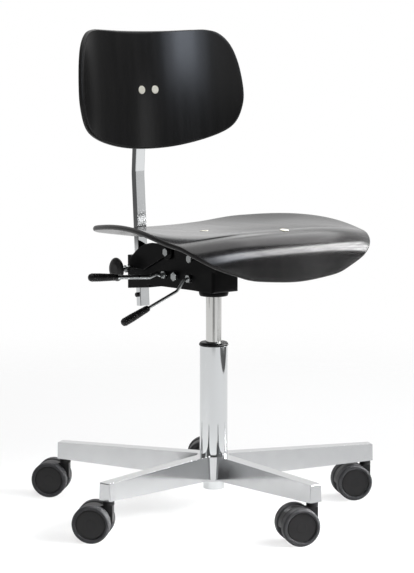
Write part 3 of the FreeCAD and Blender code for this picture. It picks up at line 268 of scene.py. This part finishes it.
def formed_shell(name, point, rim, middle, materials, body, slot, *nodes):
    """Sheet of plywood over a formula surface, cut to a rim, its edge rounded by rows of faces."""
    loop, run = smooth_loop(rim, RIM_POINTS)
    middle = Vector(middle)

    def rim_at(turn):
        spot = turn * RIM_POINTS
        low = int(spot) % RIM_POINTS
        return loop[low].lerp(loop[(low + 1) % RIM_POINTS], spot - int(spot))

    def placed(share, turn, inset, depth):
        edge = rim_at(turn) - middle
        flat = middle + edge * (share * (1 - inset / edge.length))
        here = point(flat.x, flat.y)
        along = point(flat.x + SLOPE_STEP, flat.y) - point(flat.x - SLOPE_STEP, flat.y)
        over = point(flat.x, flat.y + SLOPE_STEP) - point(flat.x, flat.y - SLOPE_STEP)
        return (here - along.cross(over).normalized() * depth) * MM, flat

    bm = bmesh.new()
    sheet = bm.loops.layers.uv.new("sheet")
    bmesh.ops.create_grid(bm, x_segments=GRID, y_segments=GRID, size=1.0)
    top = list(bm.faces)
    under = [g for g in bmesh.ops.duplicate(bm, geom=top)["geom"] if isinstance(g, bmesh.types.BMFace)]
    bmesh.ops.reverse_faces(bm, faces=under)
    where = {}
    for faces, depth in ((top, 0.0), (under, PLY)):
        for face in faces:
            for vert in face.verts:
                where[vert] = square_to_disc(vert.co.x, vert.co.y) + (EDGE_ROUND, depth)
    top_faces = set(top)
    edges = [e for e in bm.edges if e.is_boundary and e.link_faces[0] in top_faces]
    side = []
    straight = PLY - 2 * EDGE_ROUND
    for row in range(1, RIM_ROWS + 1):
        bent = math.pi * row / RIM_ROWS
        inset = EDGE_ROUND * (1 - math.sin(bent))
        depth = EDGE_ROUND * (1 - math.cos(bent)) + straight * row / RIM_ROWS
        made = bmesh.ops.extrude_edge_only(bm, edges=edges)["geom"]
        fresh = {g for g in made if isinstance(g, bmesh.types.BMVert)}
        edges = [g for g in made if isinstance(g, bmesh.types.BMEdge) and fresh.issuperset(g.verts)]
        side += [g for g in made if isinstance(g, bmesh.types.BMFace)]
        for vert in fresh:
            before = [e.other_vert(vert) for e in vert.link_edges if e.other_vert(vert) not in fresh][0]
            where[vert] = where[before][:2] + (inset, depth)
    flats = {}
    for vert, spot in where.items():
        vert.co, flats[vert] = placed(*spot)
    for face in side:
        face.material_index = 1
        turns = [where[corner.vert][1] for corner in face.loops]
        wraps = max(turns) - min(turns) > 0.5
        for corner, turn in zip(face.loops, turns):
            turn = turn + 1 if wraps and turn < 0.5 else turn
            corner[sheet].uv = (turn * run * MM, where[corner.vert][3] * MM)
    for face in top + under:
        for corner in face.loops:
            corner[sheet].uv = flats[corner.vert] * MM
    bmesh.ops.remove_doubles(bm, verts=bm.verts, dist=SHELL_MERGE)
    bmesh.ops.recalc_face_normals(bm, faces=bm.faces)
    piece_from(bm, name, materials, body, slot, *nodes)


# Seat: dished at the sides, rolled down at the front; run is forward of the column, aside is along X
SEAT_HALF = 200.0
SEAT_MIDDLE = 494.5
SEAT_LOWEST_REAR = 217.5
SEAT_LONG_RADIUS = 3300.0
DISH_RISE = 34.4
DISH_POWER = 3.4
DISH_REAR = 160.0
DISH_LENGTH = 320.0
DISH_FADE_MOST = 1.2
DISH_FALL = 1.28
ROLL_START = 183.5
ROLL_START_SWEEP = 17.0
ROLL_RADIUS = 46.0
ROLL_TURN = math.radians(94.5)


def seat_point(run, aside):
    """Top of the seat, in millimetres."""
    share = abs(aside) / SEAT_HALF
    roll_at = ROLL_START - ROLL_START_SWEEP * share ** 2
    flat = min(run, roll_at)
    fade = min(max((flat + DISH_REAR) / DISH_LENGTH, 0.0), DISH_FADE_MOST)
    dish = DISH_RISE * share ** DISH_POWER
    curve = 1 / SEAT_LONG_RADIUS
    ahead = flat + SEAT_LOWEST_REAR
    slope = math.atan(curve * ahead - dish * DISH_FALL * 2 * fade / DISH_LENGTH)
    bend = min(max((run - roll_at) / ROLL_RADIUS, 0.0), ROLL_TURN)
    lip = max(run - roll_at - ROLL_TURN * ROLL_RADIUS, 0.0)
    tilt = slope - bend
    forward = flat + ROLL_RADIUS * (math.sin(slope) - math.sin(tilt)) + lip * math.cos(tilt)
    height = SEAT_MIDDLE + curve / 2 * ahead ** 2 + dish * (1 - DISH_FALL * fade ** 2)
    height += ROLL_RADIUS * (math.cos(tilt) - math.cos(slope)) + lip * math.sin(tilt)
    return Vector((aside, -forward, height))


# Rim of the seat from the rear middle to the front middle: shares of its rear or front run and half width
SEAT_REAR = 200.0
SEAT_FRONT_LENGTH = 300.0
SEAT_RIM_HALF = 213.0
SEAT_RIM_MIDDLE = (60.0, 0.0)
SEAT_RIM = [(-1.0, 0.0), (-0.995, 0.28), (-0.95, 0.47), (-0.80, 0.695), (-0.50, 0.81), (0.0, 0.92),
            (0.37, 1.0), (0.617, 0.962), (0.783, 0.807), (0.90, 0.59), (0.967, 0.375), (1.0, 0.0)]
seat_rim = [(along * (SEAT_REAR if along < 0 else SEAT_FRONT_LENGTH), out * SEAT_RIM_HALF)
            for along, out in SEAT_RIM]
seat_rim += [(run, -aside) for run, aside in reversed(seat_rim[1:-1])]
formed_shell("seat_ply", seat_point, seat_rim, SEAT_RIM_MIDDLE, [SEAT_VENEER, PLY_EDGE], "seat",
             "black_ply", "seat_shell")

# Back: leans and bellies along its height, and wraps forward at its sides
BACK_MIDDLE = 750.0
BACK_REARWARD = 195.7
BACK_LEAN = 0.0926
BACK_BELLY = 2.3
BACK_WRAP = 65.8
BACK_WRAP_POWER = 2.2


def back_point(aside, height):
    """Front of the back, in millimetres."""
    lift = height - BACK_MIDDLE
    share = abs(aside) / SEAT_HALF
    rearward = BACK_REARWARD + BACK_LEAN * lift + BACK_BELLY * (lift / 100) ** 2
    return Vector((aside, rearward - BACK_WRAP * share ** BACK_WRAP_POWER, height))


# Rim of the back from its top middle to its bottom middle: shares of its half width and of its rise or drop
BACK_HALF_WIDTH = 182.0
BACK_RISE = 105.0
BACK_DROP = 111.0
BACK_RIM = [(0.0, 0.995), (0.30, 1.002), (0.56, 1.02), (0.70, 1.02), (0.815, 0.955), (0.91, 0.755),
            (0.97, 0.42), (1.0, -0.03), (0.985, -0.31), (0.92, -0.58), (0.80, -0.745), (0.58, -0.88),
            (0.30, -0.972), (0.0, -1.0)]
back_rim = [(out * BACK_HALF_WIDTH, BACK_MIDDLE + share * (BACK_RISE if share > 0 else BACK_DROP))
            for out, share in BACK_RIM]
back_rim += [(-aside, height) for aside, height in reversed(back_rim[1:-1])]
formed_shell("back_ply", back_point, back_rim, (0.0, BACK_MIDDLE), [BACK_VENEER, PLY_EDGE], "backrest",
             "black_ply", "back_shell")

# Turned pieces: a profile of (radius, height) with eased corners, spun round its axis
SPIN_STEPS = 72
CORNER_STEPS = 3


def upright(spot, direction):
    """Placement that stands a turned piece's axis along a direction."""
    turn = Vector((0, 0, 1)).rotation_difference(Vector(direction))
    return Matrix.Translation(Vector(spot) * MM) @ turn.to_matrix().to_4x4()


def turned(name, profile, ease, place, material, body, slot, *nodes):
    """Spin a closed or axis-to-axis profile, its corners eased first."""
    bm = bmesh.new()
    verts = [bm.verts.new((radius * MM, 0, height * MM)) for radius, height in profile]
    on_axis = profile[0][0] == 0 and profile[-1][0] == 0
    for a, b in zip(verts, verts[1:] + verts[:1]):
        if not (on_axis and b is verts[0]):
            bm.edges.new((a, b))
    corners = [v for v, (radius, height) in zip(verts, profile) if radius > 0]
    bmesh.ops.bevel(bm, geom=corners, offset=ease * MM, offset_type="OFFSET", segments=CORNER_STEPS,
                    profile=0.5, affect="VERTICES", material=-1)
    bmesh.ops.spin(bm, geom=list(bm.verts) + list(bm.edges), cent=(0, 0, 0), axis=(0, 0, 1),
                   angle=2 * math.pi, steps=SPIN_STEPS, use_merge=True)
    bmesh.ops.remove_doubles(bm, verts=bm.verts, dist=TURNED_MERGE)
    bmesh.ops.recalc_face_normals(bm, faces=bm.faces)
    bmesh.ops.transform(bm, matrix=place, verts=bm.verts)
    piece_from(bm, name, [material], body, slot, *nodes)


STANDING = Matrix.Identity(4)
turned("column_tube_chromed", [(17.0, 37.0), (19.0, 37.0), (19.0, 53.0), (23.5, 53.0), (25.0, 100.7),
                               (25.0, 297.0), (22.0, 297.0), (22.0, 66.0), (15.5, 66.0), (15.5, 60.0),
                               (5.5, 60.0), (5.5, 52.0), (9.5, 52.0), (9.5, 37.0)],
       0.5, STANDING, CHROME, "base", "column_chrome", "column_tube")
turned("column_collar_moulded", [(14.05, 239.0), (22.0, 239.0), (22.0, 297.0), (26.2, 297.0), (26.2, 300.0),
                                 (23.8, 303.0), (14.05, 303.0)],
       0.6, STANDING, POLYAMIDE, "base", "black_plastic", "column_collar")
turned("gas_cylinder_ground", [(5.05, 160.0), (14.0, 160.0), (14.0, 402.0), (4.05, 402.0), (4.05, 390.0),
                               (0, 390.0), (0, 378.0), (11.0, 378.0), (11.0, 172.0), (5.05, 172.0)],
       0.3, STANDING, GROUND_STEEL, "lift", "bright_steel", "gas_cylinder")
turned("housing_ring_coated", [(14.0, 386.5), (25.0, 386.5), (26.5, 390.75), (26.5, 395.0), (14.0, 395.0)],
       0.5, STANDING, POWDER, "lift", "black_steel", "housing_ring")

# Castors: each wheel's disc has a shallow groove near its rim and a low cap in its middle; its tread is
# rounded. A heading is the way the castor trails from its stem, in degrees from +X.
STAR_TURN = 50.6
ARM_STEP = 72.0
STEM_REACH = 291.5
TRAIL = 26.0
WHEEL_RADIUS = 32.5
HEADINGS = {"left_rear": 142.0, "right_rear": 134.0, "right": 134.0, "front": 156.7, "left": 153.5}
RIM_PROFILE = [(3.05, 10.0), (7.0, 10.0), (7.0, 22.5), (23.0, 22.5), (23.0, 10.0), (26.0, 10.0), (26.0, 26.5),
               (25.2, 26.5), (24.4, 25.8), (23.6, 26.5), (9.0, 26.5), (8.4, 26.7), (0, 26.7), (0, 24.5),
               (3.05, 24.5)]
TREAD_PROFILE = [(26.0, 10.0), (30.0, 10.0), (WHEEL_RADIUS, 12.5), (WHEEL_RADIUS, 26.5), (30.0, 29.0),
                 (26.0, 29.0)]
for arm, (place_name, heading) in enumerate(HEADINGS.items()):
    around = math.radians(STAR_TURN + ARM_STEP * arm)
    facing = math.radians(heading)
    spot = Vector((STEM_REACH * math.cos(around), STEM_REACH * math.sin(around), 0))
    hub = spot + Vector((TRAIL * math.cos(facing), TRAIL * math.sin(facing), WHEEL_RADIUS))
    sideways = Vector((-math.sin(facing), math.cos(facing), 0))
    castor = "castor_%s" % place_name
    for side, outward in (("a", sideways), ("b", -sideways)):
        wheel = "%s_wheel_%s" % (castor, side)
        place = upright(hub, outward)
        rim_node = "%s_rim_%s" % (castor, side)
        tread_node = "%s_tread_%s" % (castor, side)
        turned(rim_node + "_moulded", RIM_PROFILE, 0.35, place, POLYAMIDE, wheel, "black_plastic", rim_node)
        turned(tread_node + "_soft", TREAD_PROFILE, 0.9, place, TREAD, wheel, "grey_tread", tread_node)


# Pieces kept from the solids: a merged copy with eased edges
def eased(node, width, material, body, slot, segments=2):
    """Copy a solid's mesh, merge it into clean faces and ease its sharp edges."""
    bm = bmesh.new()
    bm.from_mesh(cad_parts[node].data)
    bmesh.ops.remove_doubles(bm, verts=bm.verts, dist=SOLID_MERGE)
    bmesh.ops.dissolve_limit(bm, angle_limit=FLAT_ANGLE, verts=bm.verts, edges=bm.edges)
    for face in bm.faces:
        face.material_index = 0
    piece_from(bm, node + "_eased", [material], body, slot, node, ease=width, segments=segments)


eased("star_base", 0.8, ALUMINIUM, "base", "polished_aluminium")
eased("mechanism_housing", 0.7, POWDER, "lift", "black_steel")
eased("seat_carrier", 0.6, POWDER, "seat", "black_steel")
eased("back_carrier", 0.6, POWDER, "back", "black_steel")
eased("clamp_block", 0, POWDER, "back", "black_steel")
eased("backrest_bar", 0, CHROME, "backrest", "column_chrome")
eased("back_bracket", 0.7, POWDER, "backrest", "black_steel")
eased("bar_stop_button", 0.7, POLYAMIDE, "backrest", "black_plastic")
eased("tension_bolt", 0.6, ZINC, "lift", "zinc_steel")
eased("seat_pivot_pin", 0.6, ZINC, "seat", "zinc_steel")
eased("back_pivot_pin", 0.6, ZINC, "back", "zinc_steel")
eased("knob_spindle", 0.5, ZINC, "clamp_knob", "zinc_steel")
eased("seat_rivets", 0.4, RIVET, "seat", "rivet_aluminium")
eased("back_rivets", 0.4, RIVET, "backrest", "rivet_aluminium")
for place_name in HEADINGS:
    castor = "castor_%s" % place_name
    eased(castor + "_housing", 1.2, POLYAMIDE, castor, "black_plastic", 3)

# Knob: a lens-shaped disc with a shallow dish in its face
KNOB_PLACE = upright((-52.0, 218.77, 416.5), (-1, 0, 0))
turned("knob_moulded", [(0, 6.0), (4.0, 6.0), (4.0, 0), (11.0, 0), (18.7, 1.8), (22.0, 4.2), (22.0, 6.6),
                        (18.7, 9.4), (11.0, 11.4), (0, 11.1)],
       1.2, KNOB_PLACE, POLYAMIDE, "clamp_knob", "black_plastic", "knob")

# Levers: bent rods with a nut at the housing and a tapered grip with rings along it
GRIP_LENGTH = 61.0
GRIP_OVERLAP = 22.0
GRIP_NECK = 6.2
GRIP_SWELL = 1.2
GRIP_SWELL_RATE = 1.3
GRIP_RINGS = 9
FIRST_RING = 8.0
LAST_RING = 48.0
GROOVE = 0.55
ROD_SEGMENTS = 24
ROD_BEND = 9.0
BEND_STEPS = 6
NUT_RADIUS = 7.5
NUT_HEIGHT = 4.5
NUT_FROM_START = Vector((-60.75, 0, 0))


def rounded_route(points):
    """Points along straight runs joined by arcs."""
    points = [Vector(spot) for spot in points]
    route = [points[0]]
    for before, corner, after in zip(points, points[1:], points[2:]):
        inward = (before - corner).normalized()
        onward = (after - corner).normalized()
        half = inward.angle(onward) / 2
        middle = corner + (inward + onward).normalized() * (ROD_BEND / math.sin(half))
        first = corner + inward * (ROD_BEND / math.tan(half)) - middle
        last = corner + onward * (ROD_BEND / math.tan(half)) - middle
        for step in range(BEND_STEPS + 1):
            route.append(middle + first.normalized().slerp(last.normalized(), step / BEND_STEPS) * ROD_BEND)
    return route + [points[-1]]


def bent_rod(name, points, radius, nut_spot, body, node):
    """Round rod along a route, made by moving its end face on, with a hexagon nut."""
    route = rounded_route(points)
    bm = bmesh.new()
    place = upright(route[0], route[1] - route[0])
    bmesh.ops.create_circle(bm, cap_ends=True, segments=ROD_SEGMENTS, radius=radius * MM, matrix=place)
    end = list(bm.faces)
    direction = (route[1] - route[0]).normalized()
    for here, (spot, after) in enumerate(zip(route[1:], route[2:] + route[-1:])):
        onward = (after - route[here]).normalized()
        swing = direction.rotation_difference(onward).to_matrix().to_4x4()
        made = bmesh.ops.extrude_face_region(bm, geom=end)["geom"]
        end = [g for g in made if isinstance(g, bmesh.types.BMFace)]
        move = Matrix.Translation(spot * MM) @ swing @ Matrix.Translation(-route[here] * MM)
        bmesh.ops.transform(bm, matrix=move, verts=end[0].verts[:])
        direction = onward
    bmesh.ops.create_cone(bm, cap_ends=True, segments=6, radius1=NUT_RADIUS * MM, radius2=NUT_RADIUS * MM,
                          depth=NUT_HEIGHT * MM, matrix=upright(nut_spot, (1, 0, 0)))
    bmesh.ops.recalc_face_normals(bm, faces=bm.faces)
    piece_from(bm, name, [ZINC], body, "zinc_steel", node, ease=0.4)


def ribbed_grip(bore):
    """Profile of a grip from its neck to its rounded end, with shallow rings."""
    profile = [(0, GRIP_OVERLAP), (bore, GRIP_OVERLAP), (bore, 0), (5.4, 0), (5.9, 3.6)]
    for ring in range(GRIP_RINGS):
        share = ring / (GRIP_RINGS - 1)
        height = FIRST_RING + (LAST_RING - FIRST_RING) * share
        radius = GRIP_NECK + GRIP_SWELL * min(1.0, share * GRIP_SWELL_RATE)
        profile += [(radius, height - 1.7), (radius, height + 1.0), (radius - GROOVE, height + 1.6),
                    (radius - GROOVE, height + 2.4)]
    return profile + [(7.4, 51.5), (7.4, 54.5), (5.9, 58.6), (3.0, 60.6), (0, GRIP_LENGTH)]


def lever(name, route, bore):
    """Rod, nut and grip of one lever, from the far side of the housing to the grip's end."""
    onward = (Vector(route[-1]) - Vector(route[-2])).normalized()
    start = Vector(route[-1]) - onward * GRIP_LENGTH
    rod_end = start + onward * GRIP_OVERLAP
    nut_spot = Vector(route[0]) + NUT_FROM_START
    bent_rod(name + "_rod_bent", list(route[:-1]) + [rod_end], bore, nut_spot, name, name + "_rod")
    turned(name + "_grip_ribbed", ribbed_grip(bore), 0.25, upright(start, onward), POLYAMIDE, name,
           "black_plastic", name + "_grip")


lever("tilt_lever", [(29.0, 107.0, 415.5), (-39.0, 107.0, 415.5), (-49.0, 104.0, 419.5),
                     (-66.0, 104.0, 414.5), (-198.0, 104.0, 423.5)], 4.0)
lever("lift_lever", [(29.0, 33.6, 415.5), (-39.0, 33.6, 415.5), (-54.0, 37.6, 394.5),
                     (-174.0, 37.6, 347.0)], 2.8)

# Solids that hardly show keep their meshes and get their real finish
plain_finish = {"castor_stems": ZINC, "gas_piston_rod": GROUND_STEEL, "thrust_bearing": GROUND_STEEL,
                "retaining_clip": ZINC, "gas_valve_button": ZINC}
plain_finish.update({"castor_%s_axle" % place_name: ZINC for place_name in HEADINGS})
for node, material in plain_finish.items():
    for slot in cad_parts[node].material_slots:
        slot.material = material

# Camera: where the photograph was taken, in a frame of 414 by 573
FRAME_HEIGHT = 573
CAMERA_DISTANCE = 3.400
CAMERA_HEIGHT = 0.84574
CAMERA_AROUND = math.radians(38.0)
FOCAL_PIXELS = 1925.1
PITCH_DOWN = math.radians(7.427)
YAW_LEFT = math.radians(0.202)
SENSOR = 36.0
camera_data = bpy.data.cameras.new("photo_camera")
camera_data.sensor_fit = "VERTICAL"
camera_data.sensor_height = SENSOR
camera_data.lens = FOCAL_PIXELS * SENSOR / FRAME_HEIGHT
camera = bpy.data.objects.new("photo_camera", camera_data)
camera.location = (-CAMERA_DISTANCE * math.sin(CAMERA_AROUND), -CAMERA_DISTANCE * math.cos(CAMERA_AROUND),
                   CAMERA_HEIGHT)
heading = math.pi / 2 - CAMERA_AROUND + YAW_LEFT
looking = Vector((math.cos(heading) * math.cos(PITCH_DOWN), math.sin(heading) * math.cos(PITCH_DOWN),
                  -math.sin(PITCH_DOWN)))
camera.rotation_euler = looking.to_track_quat("-Z", "Y").to_euler()
bpy.context.scene.collection.objects.link(camera)
bpy.context.scene.camera = camera
bpy.context.scene.view_settings.view_transform = "Standard"

# Stage: a white floor that fades into a white world, keeps a faint shadow and shows in the metal
FLOOR_RADIUS = 5.0
FLOOR_GLOW = 0.68
FLOOR_GREY = "#8d8d8d"
SEEN_FADE = {"From Min": 0.9, "From Max": 2.2}
MIRROR_FADE = {"From Min": 4.0, "From Max": 4.9}
floor_mesh = bpy.data.meshes.new("floor")
bm = bmesh.new()
bmesh.ops.create_circle(bm, cap_ends=True, radius=FLOOR_RADIUS, segments=96)
bm.to_mesh(floor_mesh)
bm.free()
floor = bpy.data.objects.new("floor", floor_mesh)
bpy.context.scene.collection.objects.link(floor)
paper, tree = new_material("white_paper_floor")
rays = add(tree, "LightPath").outputs
mirrored = add(tree, "Math", links={0: rays["Is Glossy Ray"], 1: rays["Is Transmission Ray"]},
               operation="MAXIMUM").outputs["Value"]
shown = add(tree, "Math", links={0: rays["Is Camera Ray"], 1: mirrored}, operation="MAXIMUM")
place = add(tree, "TexCoord").outputs["Object"]
away = add(tree, "VectorMath", links={0: place}, operation="LENGTH")
seen_fade = add(tree, "MapRange", {**SEEN_FADE, "To Min": 1.0, "To Max": 0.0},
                {"Value": away.outputs["Value"]}, interpolation_type="SMOOTHSTEP")
mirror_fade = add(tree, "MapRange", {**MIRROR_FADE, "To Min": 1.0, "To Max": 0.0},
                  {"Value": away.outputs["Value"]}, interpolation_type="SMOOTHSTEP")

# In the metal the paper has dark places: the shade on the camera's side, a black card at the right, and its
# far right corner. They draw the line down the gas cylinder, the drop at the column's top and the grey of the
# bar's upper part. Each has a middle and half sizes, towards the camera and to the right, a soft edge and a
# depth.
DARK_PLACES = (
    ((3.5, 0.0, 0.0), (1.65, 0.65), 0.15, 0.8),
    ((0.0, 1.64, 0.0), (1.08, 0.20), 0.02, 1.0),
    ((0.9, 3.6, 0.0), (1.1, 1.0), 0.2, 0.5),
)
VIEW_TURN = math.pi / 2 + CAMERA_AROUND
toward = add(tree, "Mapping", {"Rotation": (0, 0, VIEW_TURN)}, {"Vector": place})
kept = mirror_fade.outputs["Result"]
for middle, (half_along, half_across), soft, depth in DARK_PLACES:
    offset = add(tree, "VectorMath", {1: middle}, {0: toward.outputs["Vector"]}, operation="SUBTRACT")
    apart = add(tree, "VectorMath", links={0: offset.outputs["Vector"]}, operation="ABSOLUTE")
    axes = add(tree, "SeparateXYZ", links={"Vector": apart.outputs["Vector"]})
    along = add(tree, "MapRange", {"From Min": half_along - soft, "From Max": half_along + soft,
                                   "To Min": depth, "To Max": 0.0},
                {"Value": axes.outputs["X"]}, interpolation_type="SMOOTHSTEP")
    across = add(tree, "MapRange", {"From Min": half_across - soft, "From Max": half_across + soft,
                                    "To Min": 1.0, "To Max": 0.0},
                 {"Value": axes.outputs["Y"]}, interpolation_type="SMOOTHSTEP")
    dark = add(tree, "Math", links={0: along.outputs["Result"], 1: across.outputs["Result"]},
               operation="MULTIPLY")
    kept = add(tree, "Math", links={0: kept, 1: dark.outputs["Value"]}, operation="SUBTRACT",
               use_clamp=True).outputs["Value"]
cover = add(tree, "Mix", links={"Factor": mirrored, "A": seen_fade.outputs["Result"], "B": kept})
sheet = add(tree, "BsdfDiffuse", {"Color": linear(FLOOR_GREY)})
part = add(tree, "Math", {1: FLOOR_GLOW}, {0: shown.outputs["Value"]}, operation="MULTIPLY")
glow = add(tree, "Emission", {"Color": (1, 1, 1, 1)}, {"Strength": part.outputs["Value"]})
both = add(tree, "AddShader", links={0: sheet.outputs["BSDF"], 1: glow.outputs["Emission"]})
clear = add(tree, "BsdfTransparent")
mixed = add(tree, "MixShader", links={0: cover.outputs["Result"], 1: clear.outputs["BSDF"],
                                      2: both.outputs["Shader"]})
add(tree, "OutputMaterial", links={"Surface": mixed.outputs["Shader"]})
floor_mesh.materials.append(paper)

# World: white to the eye; metal sees the white backdrop behind it and the dim room on the camera's side.
# ROOM_FILL is what matt surfaces get, ROOM_SEEN what mirrors show of the room.
ROOM_FILL = 0.35
BACKDROP_SIDE = (0.616, 0.788, 0.25)
BACKDROP_EDGE = {"From Min": 0.42, "From Max": 0.85}
ROOM_SEEN = 0.13
world = bpy.data.worlds.new("white_studio")
bpy.context.scene.world = world
world.use_nodes = True
tree = world.node_tree
tree.nodes.clear()
rays = add(tree, "LightPath").outputs
mirrored = add(tree, "Math", links={0: rays["Is Glossy Ray"], 1: rays["Is Transmission Ray"]},
               operation="MAXIMUM").outputs["Value"]
direction = add(tree, "TexCoord").outputs["Generated"]
behind = add(tree, "VectorMath", {1: BACKDROP_SIDE}, {0: direction}, operation="DOT_PRODUCT")
backdrop = add(tree, "MapRange", {**BACKDROP_EDGE, "To Min": ROOM_SEEN, "To Max": 1.0},
               {"Value": behind.outputs["Value"]}, interpolation_type="SMOOTHSTEP")
room = add(tree, "Mix", {"A": ROOM_FILL}, {"Factor": mirrored, "B": backdrop.outputs["Result"]})
strength = add(tree, "Mix", {"B": 1.0}, {"Factor": rays["Is Camera Ray"], "A": room.outputs["Result"]})
white = add(tree, "Background", {"Color": (1, 1, 1, 1)}, {"Strength": strength.outputs["Result"]})
add(tree, "OutputWorld", links={"Surface": white.outputs["Background"]})


def softbox(name, left, right, aim, height, power, tint="#ffffff", spread=180.0):
    """Rectangular soft light between two ends, turned to a point; a grid over it narrows its spread."""
    left = Vector(left)
    right = Vector(right)
    middle = (left + right) / 2
    across = (right - left).normalized()
    back = middle - Vector(aim)
    back = (back - across * back.dot(across)).normalized()
    light = bpy.data.lights.new(name, "AREA")
    light.shape = "RECTANGLE"
    light.size = (right - left).length
    light.size_y = height
    light.energy = power
    light.color = linear(tint)[:3]
    light.spread = math.radians(spread)
    lamp = bpy.data.objects.new(name, light)
    lamp.location = middle
    lamp.rotation_euler = Matrix((across, back.cross(across), back)).transposed().to_euler()
    bpy.context.scene.collection.objects.link(lamp)


# Lamps: light from above, boxes in front for the back's sheen, boxes on +X and behind for the seat's top, a
# fill from -X and a strip for the bar
SEAT_FRONT = (0.05, -0.25, 0.47)
BACK_FRONT = (0.0, 0.1, 0.8)
DAYLIGHT = "#e7f0ff"
softbox("overhead_softbox", (-1.5, 0.0, 3.3), (1.5, 0.0, 3.3), (0.0, 0.0, 0.0), 3.0, 58)
softbox("front_softbox_wide", (-0.24, -2.76, 1.86), (1.34, -2.44, 1.86), BACK_FRONT, 1.4, 11, DAYLIGHT)
softbox("front_softbox_narrow", (0.16, -2.68, 1.90), (0.94, -2.52, 1.90), BACK_FRONT, 1.2, 9, DAYLIGHT)
softbox("front_softbox_left", (-1.17, -2.29, 1.62), (-0.21, -2.55, 1.62), BACK_FRONT, 1.2, 1.1)
softbox("top_softbox", (1.42, -1.21, 2.20), (1.47, 0.57, 2.23), SEAT_FRONT, 1.2, 18)
softbox("side_softbox", (1.42, -1.72, 1.77), (2.09, -0.27, 1.77), SEAT_FRONT, 0.6, 1.8)
softbox("rear_softbox", (1.94, 0.88, 1.56), (1.24, 1.60, 1.56), SEAT_FRONT, 0.85, 0.8)
softbox("rear_softbox_high", (1.74, 0.50, 2.08), (1.18, 1.20, 2.08), SEAT_FRONT, 0.6, 2.4)
softbox("rear_softbox_left", (1.23, 0.83, 2.02), (0.61, 1.35, 2.02), SEAT_FRONT, 0.9, 3.6)
softbox("left_softbox", (-2.52, 0.94, 1.3), (-2.68, 0.26, 1.3), (0.0, 0.0, 0.6), 1.6, 3)
softbox("bar_strip", (1.36, -1.75, 0.57), (1.58, -1.59, 0.57), (0.0, 0.21, 0.57), 0.95, 0.52)

# Gridded strips on an arc, in three rows, each aimed under the seat's front, draw the long highlight on its
# roll; the arc runs from the chair's front round to +X and comes lower on the way
STRIPS = 8
STRIP_ROWS = (-7, 0, 7)
STRIP_REACH = 2.4
STRIP_HALF = 0.24
STRIP_HEIGHT = 0.2
STRIP_GRID = 18
STRIP_AIM = Vector((0, -0.1, -0.25))
FIRST_AROUND = -87
ARC_AROUND = 80
FIRST_ABOVE = 32
ARC_DROP = 18
ROLL_END = Vector((-0.19, -0.2, 0.45))
ROLL_RUN = Vector((0.38, 0, 0))
LEAST_POWER = 0.01
ADDED_POWER = 0.26
POWER_RUN = 1.2
for strip in range(STRIPS):
    share = strip / (STRIPS - 1)
    around = math.radians(ARC_AROUND * share + FIRST_AROUND)
    foot = ROLL_END + ROLL_RUN * share
    half = Vector((-math.sin(around), math.cos(around), 0)) * STRIP_HALF
    power = LEAST_POWER + ADDED_POWER * math.sin(math.pi * share / POWER_RUN)
    for row, offset in enumerate(STRIP_ROWS):
        above = math.radians(FIRST_ABOVE - ARC_DROP * share + offset)
        level = math.cos(above)
        outward = Vector((level * math.cos(around), level * math.sin(around), math.sin(above)))
        spot = foot + outward * STRIP_REACH
        softbox("roll_strip_%d_%d" % (strip, row), spot - half, spot + half, foot + STRIP_AIM, STRIP_HEIGHT,
                power, spread=STRIP_GRID)
